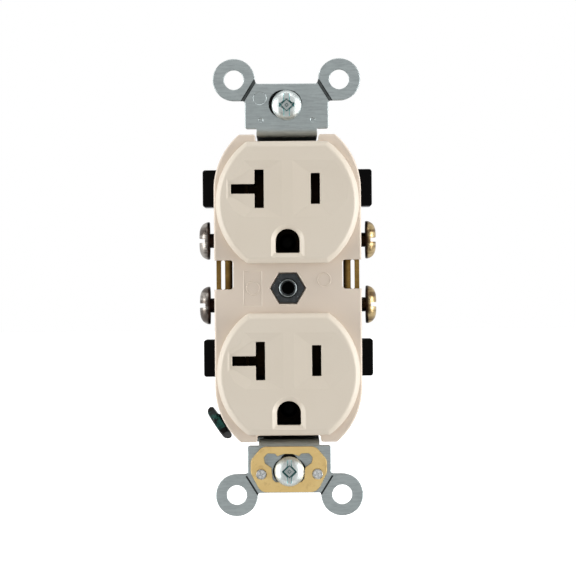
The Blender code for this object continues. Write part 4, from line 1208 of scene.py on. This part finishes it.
def contact_leaves(side, blade_z):
    leaf = LEAF_T
    near = BLADE_X + 0.85
    leaves = [side_box(side, BLADE_X - 0.85 - leaf, blade_z - 3.7, BLADE_X - 0.85, blade_z + 3.7)]
    if side > 0:
        leaves.append(side_box(side, near, blade_z - 3.7, near + leaf, blade_z + 3.7))
        return leaves
    for flip in (1, -1):
        corner = [
            (-near, flip * 1.2), (-near, flip * 3.9), (-near - leaf, flip * 3.9),
            (-near - leaf, flip * (1.2 + leaf)), (-12.4, flip * (1.2 + leaf)), (-12.4, flip * 1.2),
        ]
        leaves.append([(x, blade_z + z) for x, z in corner])
    return leaves


def ground_contact(row, ground_z):
    leaf_in = 2.45
    leaf = LEAF_T
    back = 20.9
    contact = slab("contact", "Y", box_outline(
        -leaf_in - leaf, ground_z - 3.2, leaf_in + leaf, ground_z + 3.2), back - LEG_T, back, 0.1, 0.1, 2)
    for side in (-1, 1):
        add_slab(contact, "Y", side_box(
            side, leaf_in, ground_z - 3.0, leaf_in + leaf, ground_z + 3.0), 1.5, back, 0.2, 0.1, 3)
    hole = circle(0.0, ground_z, BODY_RIVET_HOLE_R, 24)
    cut(contact, [straight(hole, 18.0, 22.0)])
    # Painted shade: the springs get near-black brass.
    return finish(
        contact, row + "_ground_spring", "device", BRASS_PAINTED_SHADE, (row + "_ground_contact",))


def pressure_plate(label, side, terminal):
    outer = OUTER_LEG - LEG_T - GAP
    near, far = sorted((side * (outer - 1.15), side * outer))
    shape = Rounded(box_outline(
        LEG_FRONT + LEG_T + GAP, terminal - 4.0, LEG_BACK, terminal + 4.0), 0.5, 4)
    plate = slab("plate", "X", shape, near, far, 0.15, 0.15, 3)
    carve(plate, turned(
        "hole", [(-4.0, 1.4), (4.0, 1.4)], (side * outer, TERMINAL_Y, terminal), (side, 0.0, 0.0), 24))
    ribs = []
    for offset in (-3.0, -2.2, 2.2, 3.0):
        ridge = box_outline(
            LEG_FRONT + LEG_T + GAP + 0.4, terminal + offset - 0.12,
            LEG_BACK - 0.4, terminal + offset + 0.12)
        level = side * outer
        ribs.append([(level - side * 0.12, ridge), (level + side * 0.5, grown(ridge, 0.12))])
    cut(plate, ribs, "X")
    return finish(plate, label + "_plate", label + "_plate", BRASS, (label + "_clamp",))


# ---------------------------------------------------------------- screws, rivets, post

def terminal_screw(label, side, terminal, material):
    base = (side * TERMINAL_HEAD_X, TERMINAL_Y, terminal)
    outward = (side, 0.0, 0.0)
    shoulder = -(TERMINAL_HEAD_X - OUTER_LEG + LEG_T + 0.05)
    collar = shoulder - 1.15 - 2 * GAP
    head = turned("head", [
        (2.42, 0.9), (2.41, 1.6), (2.36, 2.2), (2.25, 2.7), (2.09, 3.1), (1.89, 3.45), (1.63, 3.76),
        (1.32, 4.0), (0.98, 4.18), (0.62, 4.31), (0.32, TERMINAL_HEAD_R), (0.06, 4.3), (0.0, 4.15),
        (0.0, 3.3), (0.12, 3.0), (0.16, 1.75), (-0.1, 1.65), (-1.55, 1.65),
    ], base, outward, 72)
    carve(head, slot_cutter(base, outward, (0.0, 1.0, 0.0), 1.0, 1.3, 2.42))
    thread = threaded("thread", THREAD_8_R, 0.40, PITCH_8, -1.5, shoulder, base, outward, 32, 10)
    pin = turned("pin", smooth_profile([
        (shoulder + 0.2, 1.05), (collar, 1.05), (collar, 1.7), (collar - 0.6, 1.5),
    ]), base, outward, 32)
    joined(head, thread, pin)
    return finish(
        head, label + "_screw_turned", label + "_terminal_screw", material, (label + "_screw",))


def hexagon_in_circle(flats, limit, turn, steps=72):
    points = []
    for index in range(steps):
        angle = 2.0 * math.pi * index / steps
        from_flat = (angle + math.pi / 6.0) % (math.pi / 3.0) - math.pi / 6.0
        radius = min(flats / 2.0 / math.cos(from_flat), limit)
        points.append((
            radius * math.cos(angle + math.radians(turn)), radius * math.sin(angle + math.radians(turn))))
    return points


def axis_turn(direction):
    turn = Vector((0.0, 0.0, 1.0)).rotation_difference(direction)
    front = turn.inverted() @ Vector((0.0, -1.0, 0.0))
    return math.degrees(math.atan2(front.y, front.x))


def ground_screw():
    corner = GROUND_HEAD_FLATS / math.sqrt(3.0)
    turn = GROUND_HEAD_TURN + axis_turn(TAB_DIRECTION)
    top = GROUND_HEAD_T
    sections = []
    for height, limit in (
        (top, 3.1), (top - 0.03, 3.35), (top - 0.12, 3.58), (top - 0.26, 3.78), (top - 0.42, 3.96),
        (top - 0.56, 4.12), (top - 0.68, corner), (0.5, corner), (0.36, 4.2), (0.2, 4.05), (0.08, 3.92),
        (0.0, 3.75),
    ):
        sections.append((height, hexagon_in_circle(GROUND_HEAD_FLATS, limit, turn)))
    for height, radius in ((0.0, 2.2), (-0.3, 1.7), (-1.2, 1.66)):
        sections.append((height, hexagon_in_circle(100.0, radius, turn)))
    head = stacked("head", sections, GROUND_SCREW_AT, TAB_DIRECTION)
    along_case = (TAB_DIRECTION.z, 0.0, -TAB_DIRECTION.x)
    carve(head, slot_cutter(GROUND_SCREW_AT, TAB_DIRECTION, along_case, 1.1, 0.9, top))
    thread = threaded(
        "thread", THREAD_8_R, 0.40, PITCH_8, -1.0, -5.9, GROUND_SCREW_AT, TAB_DIRECTION, 32, 10)
    joined(head, thread)
    finish(head, "ground_screw_turned", "ground_terminal_screw", GREEN, ("ground_screw",))

    # Painted shade: both ends of the head get the near-black rivet plating.
    def at_painted_shade_end(place, normal):
        reach = (place - Vector(GROUND_SCREW_AT)).dot(Vector((-TAB_DIRECTION.z, 0.0, TAB_DIRECTION.x)))
        return not -3.5 < reach < 1.4

    return paint(head, RIVET_PAINTED_SHADE, at_painted_shade_end)


def mounting_screw(row, height, seat, crossed):
    """Round washer head with a slot and a diamond recess, which may have a cross through it."""
    base = (0.0, seat, height)
    outward = (0.0, -1.0, 0.0)
    head = turned("head", [
        (1.9, 0.6), (1.88, 1.2), (1.82, 1.6), (1.70, 2.0), (1.50, 2.4), (1.22, 2.75), (0.95, 3.0),
        (0.66, 3.2), (0.36, 3.34), (0.16, MOUNT_HEAD_R), (0.03, 3.34), (0.0, 3.2), (0.0, 1.8),
        (-0.2, 1.45), (-0.9, 1.4),
    ], base, outward, 72)
    slot_width = 1.4 if crossed else 1.05
    carve(head, slot_cutter(base, outward, (0.0, 0.0, 1.0), slot_width, 0.65, 1.9))
    recess = []
    for level, reach in (
        (2.6, 1.95), (1.9, 1.80), (1.55, 1.72), (0.80, 1.22), (0.70, 0.5), (0.48, 0.36), (0.40, 0.1),
    ):
        corners = circle(0.0, 0.0, reach, 4)
        recess.append((seat - level, [(u, height + v) for u, v in filleted(corners, 0.08, 2)]))
    cutters = [recess]
    if crossed:
        for across in (True, False):
            bar = []
            for level, length, width in ((2.6, 2.05, 0.62), (1.9, 1.85, 0.50), (1.1, 1.3, 0.36)):
                half_u = length if across else width
                half_v = width if across else length
                bar.append((seat - level, box_outline(-half_u, height - half_v, half_u, height + half_v)))
            cutters.append(bar)
    for cutter in cutters:
        cut(head, [cutter])
    thread = threaded(
        "thread", THREAD_6_R, 0.36, PITCH_6, -0.7, -MOUNT_SCREW_L, base, outward, 28, 9)
    joined(head, thread)
    finish(
        head, row + "_device_screw_turned", row + "_device_screw", ZINC_PLATE,
        (row + "_mounting_screw",))

    # Painted reflection: steep recess walls and slot sides get the dark teal.
    def on_recess_wall(place, normal):
        radius = math.hypot(place.x, place.z - height)
        steep = abs(normal.y) < 0.82 and radius < 1.9
        slot_side = abs(normal.x) > 0.4 and abs(place.x) < slot_width / 2.0 + 0.2 and radius < 3.2
        return seat - 2.0 < place.y < seat - 0.4 and (steep or slot_side)

    return paint(head, RECESS_PAINTED_REFLECTION, on_recess_wall)


def screw_retainer(row, height, body):
    shape = Rounded(box_outline(-4.5, height - 3.8, 4.5, height + 3.8), 0.8, 5)
    washer = slab("washer", "Y", shape, GAP, GAP + 0.8, 0.1, 0.1, 2)
    hole = circle(0.0, height, THREAD_6_R + GAP, 32)
    cut(washer, [straight(hole, -1.0, 3.0)])
    return finish(washer, row + "_fibre_washer", body, FIBRE, (row + "_screw_retainer",))


def center_post():
    front = COVER_FRONT + 0.1
    tail = front - REAR_BACK - GAP
    washer = hexagon(HEX_FLATS)
    head = lofts("hex", "Y", [[
        (front, grown(washer, -0.14)), (front + 0.04, grown(washer, -0.05)), (front + 0.12, washer),
        (front + HEX_T - 0.1, washer), (front + HEX_T, grown(washer, -0.1)),
    ]])
    cut(head, [[
        (front - 0.5, circle(0.0, 0.0, 2.30)), (front, circle(0.0, 0.0, 2.26)),
        (front + 0.5, circle(0.0, 0.0, 2.16)), (front + HEX_T - 0.4, circle(0.0, 0.0, 2.14)),
    ]])
    base = (0.0, front, 0.0)
    tube = turned("tube", [
        (0.02, 1.62), (0.30, 1.80), (0.35, 1.90), (0.30, 1.99), (0.16, 2.03), (-0.8, 2.03),
        (-0.8, POST_R), (tail, POST_R), (tail, 3.35), (tail - 0.25, 3.66), (tail - 0.62, 3.7),
        (tail - 0.92, 3.3), (tail - 1.0, 2.6), (tail - 0.85, 1.9), (tail - 0.55, 1.3), (tail - 0.45, 0.6),
    ], base, (0.0, -1.0, 0.0), 56)
    carve(tube, threaded_cutter(front - 2.0, POST_BORE_BACK))
    joined(head, tube)
    return finish(head, "threaded_post", "device", DARK_STEEL, ("center_post",))


def threaded_cutter(front, back):
    """Bore of the post, with a number 6-32 thread cut in its wall."""
    rings = []
    count = int((back - front) / PITCH_6 * 8)
    steps = 28
    for level in range(count + 1):
        y = front + (back - front) * level / count
        ring = []
        for step in range(steps):
            angle = 2.0 * math.pi * step / steps
            ridge = abs(2.0 * ((y / PITCH_6 + step / steps) % 1.0) - 1.0)
            radius = 1.36 + 0.22 * ridge
            ring.append(Vector((radius * math.cos(angle), y, radius * math.sin(angle))) * MM)
        rings.append(ring)
    return from_rings("thread", rings)


def body_rivet(row, ground_z):
    tail = BODY_RIVET_Y - REAR_BACK - GAP
    rivet = turned("rivet", [
        (0.5, 0.9), (0.46, 1.3), (0.3, 1.75), (0.1, 1.97), (0.0, 2.0), (0.0, 1.2),
        (tail, 1.2), (tail, 2.0), (tail - 0.2, 1.97), (tail - 0.55, 1.7), (tail - 0.8, 1.1),
    ], (0.0, BODY_RIVET_Y, ground_z), (0.0, -1.0, 0.0), 40)
    # Painted shade: the rivet gets near-black plating.
    return finish(rivet, row + "_body_rivet", "device", RIVET_PAINTED_SHADE, (row + "_ground_rivet",))


def clip_rivet(label, x):
    front = CLIP_BACK - CLIP_T - GAP
    rivet = turned("rivet", [
        (0.5, 0.55), (0.47, 0.85), (0.38, 1.08), (0.22, 1.2), (0.0, 1.25), (0.0, 0.8),
        (front - GAP, 0.8), (front - GAP, 1.25), (front - GAP - 0.24, 1.12), (front - GAP - 0.4, 0.7),
    ], (x, front, RIVET_Z), (0.0, -1.0, 0.0), 40)
    cross = []
    for turn in (0.35, 0.35 + math.pi / 2.0):
        along = Vector((math.cos(turn), math.sin(turn)))
        across = Vector((-along.y, along.x))
        middle = Vector((x, RIVET_Z))
        for half, level in ((0.30, front - 0.75), (0.04, front - 0.20)):
            corners = [
                middle + along * 1.2 + across * half, middle - along * 1.2 + across * half,
                middle - along * 1.2 - across * half, middle + along * 1.2 - across * half,
            ]
            cross.append((level, [(corner.x, corner.y) for corner in corners]))
    cut(rivet, [cross[:2]])
    cut(rivet, [cross[2:]])
    return finish(
        rivet, label + "_staked_rivet", "device", RIVET_PLATE, (label + "_clip_rivet",))


def grounding_clip():
    right = [(6.1, CLIP_TOP), (CLIP_HALF_W, -39.1), (CLIP_HALF_W, -42.1), (6.4, CLIP_BOTTOM)]
    corners = [(x + CLIP_SHIFT, z) for x, z in right + mirrored_u(right)]
    outline = Rounded(corners[::-1], 2.2, 7, 20.0)
    clip = slab("clip", "Y", outline, CLIP_BACK - CLIP_T, CLIP_BACK, 0.14, 0.08, 3)
    lobe = [
        (0.9, -37.72), (1.9, -38.0), (2.5, -38.35), (2.9, -37.65), (4.7, -37.55),
        (5.55, -38.5), (5.3, -39.8), (3.85, -40.8), (3.55, -43.5), (2.9, -44.1),
    ]
    corners = [(x + CLIP_OPENING_SHIFT, z) for x, z in lobe + mirrored_u(lobe)]
    opening = Rounded(corners[::-1], 0.45, 4, 12.0)
    cut(clip, [flared_sections(opening, CLIP_BACK - CLIP_T, CLIP_BACK, 0.12, 0.04, 3)])
    holes = []
    for side in (-1, 1):
        hole = circle(side * RIVET_X, RIVET_Z, CLIP_RIVET_HOLE_R, 24)
        holes.append(straight(hole, CLIP_BACK - 2.0, CLIP_BACK + 0.6))
    cut(clip, holes)
    return finish(clip, "brass_clip", "device", CLIP_BRASS, ("self_grounding_clip",))


# ---------------------------------------------------------------- stage

def area_light(name, location, size, power):
    """Rectangular white light that faces the object's middle."""
    data = bpy.data.lights.new(name, "AREA")
    data.shape = "RECTANGLE"
    data.size, data.size_y = size
    data.energy = power
    made = bpy.data.objects.new(name, data)
    made.location = location
    made.rotation_euler = (-Vector(location)).to_track_quat("-Z", "Y").to_euler()
    bpy.context.scene.collection.objects.link(made)
    return made


def white_world(front, behind):
    """Pure white to the camera; on the object, soft light from the front and from behind."""
    world = bpy.data.worlds.new("studio")
    bpy.context.scene.world = world
    world.use_nodes = True
    tree = world.node_tree
    tree.nodes.clear()
    coords = add_node(tree, "ShaderNodeTexCoord").outputs["Generated"]
    y = add_node(tree, "ShaderNodeSeparateXYZ", {0: coords}).outputs["Y"]
    levels = [
        add_node(tree, "ShaderNodeMapRange", {
            "Value": y, "From Min": start, "From Max": end, "To Min": 0.0, "To Max": strength,
        }, interpolation_type="SMOOTHSTEP").outputs["Result"]
        for start, end, strength in ((-0.6, -1.0, front), (-0.3, 0.3, behind))
    ]
    total = add_node(tree, "ShaderNodeMath", {0: levels[0], 1: levels[1]}, operation="ADD").outputs[0]
    lit = add_node(tree, "ShaderNodeBackground", {"Strength": total}).outputs[0]
    seen = add_node(tree, "ShaderNodeBackground", {"Color": (1.0, 1.0, 1.0, 1.0)}).outputs[0]
    camera_ray = add_node(tree, "ShaderNodeLightPath").outputs["Is Camera Ray"]
    mixed = add_node(tree, "ShaderNodeMixShader", {0: camera_ray, 1: lit, 2: seen}).outputs[0]
    add_node(tree, "ShaderNodeOutputWorld", {"Surface": mixed})


def floor():
    builder = bmesh.new()
    bmesh.ops.create_grid(builder, x_segments=8, y_segments=8, size=6.0)
    made = new_object("floor", builder)
    made.location = (0.0, 0.0, FLOOR_Z)
    pale = bpy.data.materials.new("pale_floor")
    pale.use_nodes = True
    shader = pale.node_tree.nodes["Principled BSDF"]
    shader.inputs["Base Color"].default_value = (0.9, 0.9, 0.9, 1.0)
    shader.inputs["Roughness"].default_value = 0.9
    shader.inputs["Emission Color"].default_value = (1.0, 1.0, 1.0, 1.0)
    shader.inputs["Emission Strength"].default_value = 1.0
    made.data.materials.append(pale)
    made.visible_diffuse = False
    made.visible_glossy = False
    made.visible_shadow = False


def camera():
    data = bpy.data.cameras.new("camera")
    data.lens = CAMERA_LENS
    data.sensor_width = 36.0
    data.clip_start = 0.05
    data.clip_end = 20.0
    data.shift_y = CAMERA_SHIFT
    made = bpy.data.objects.new("camera", data)
    roll = math.radians(CAMERA_ROLL)
    right = Vector((math.cos(roll), 0.0, -math.sin(roll)))
    up = Vector((math.sin(roll), 0.0, math.cos(roll)))
    back = Vector((0.0, -1.0, 0.0))
    turn = Matrix((right, up, back)).transposed().to_4x4()
    made.matrix_world = Matrix.Translation((0.0, CAMERA_Y, 0.0)) @ turn
    bpy.context.scene.collection.objects.link(made)
    bpy.context.scene.camera = made


def studio():
    camera()
    floor()
    white_world(0.95, 1.01)
    for name, location, size, power in LIGHTS:
        area_light(name, location, size, power)
    bpy.context.scene.view_settings.view_transform = "Standard"


# ---------------------------------------------------------------- assembly

def build():
    studio()
    face_cover()
    back_body()
    mounting_strap()
    center_post()
    bus("line_bus", 1)
    bus("neutral_bus", -1)
    for outlet in OUTLETS:
        ground_contact(outlet.name, outlet.ground_z)
        body_rivet(outlet.name, outlet.ground_z)
        for pole, side, slot, material in (
            ("line", 1, "brass_screw", BRASS_PLATE), ("neutral", -1, "nickel_screw", NICKEL_PLATE),
        ):
            label = outlet.name + "_" + pole
            terminal_screw(label, side, outlet.terminal, material)
            pressure_plate(label, side, outlet.terminal)
    ground_screw()
    grounding_clip()
    for label, side in (("left", -1), ("right", 1)):
        clip_rivet(label, side * RIVET_X)
    mounting_screw("upper", MOUNT_Z, PLATE_FRONT - GAP, True)
    mounting_screw("lower", -MOUNT_Z, CLIP_BACK - CLIP_T - GAP, False)
    screw_retainer("upper", MOUNT_Z, "upper_retainer")
    screw_retainer("lower", -MOUNT_Z, "device")


build()
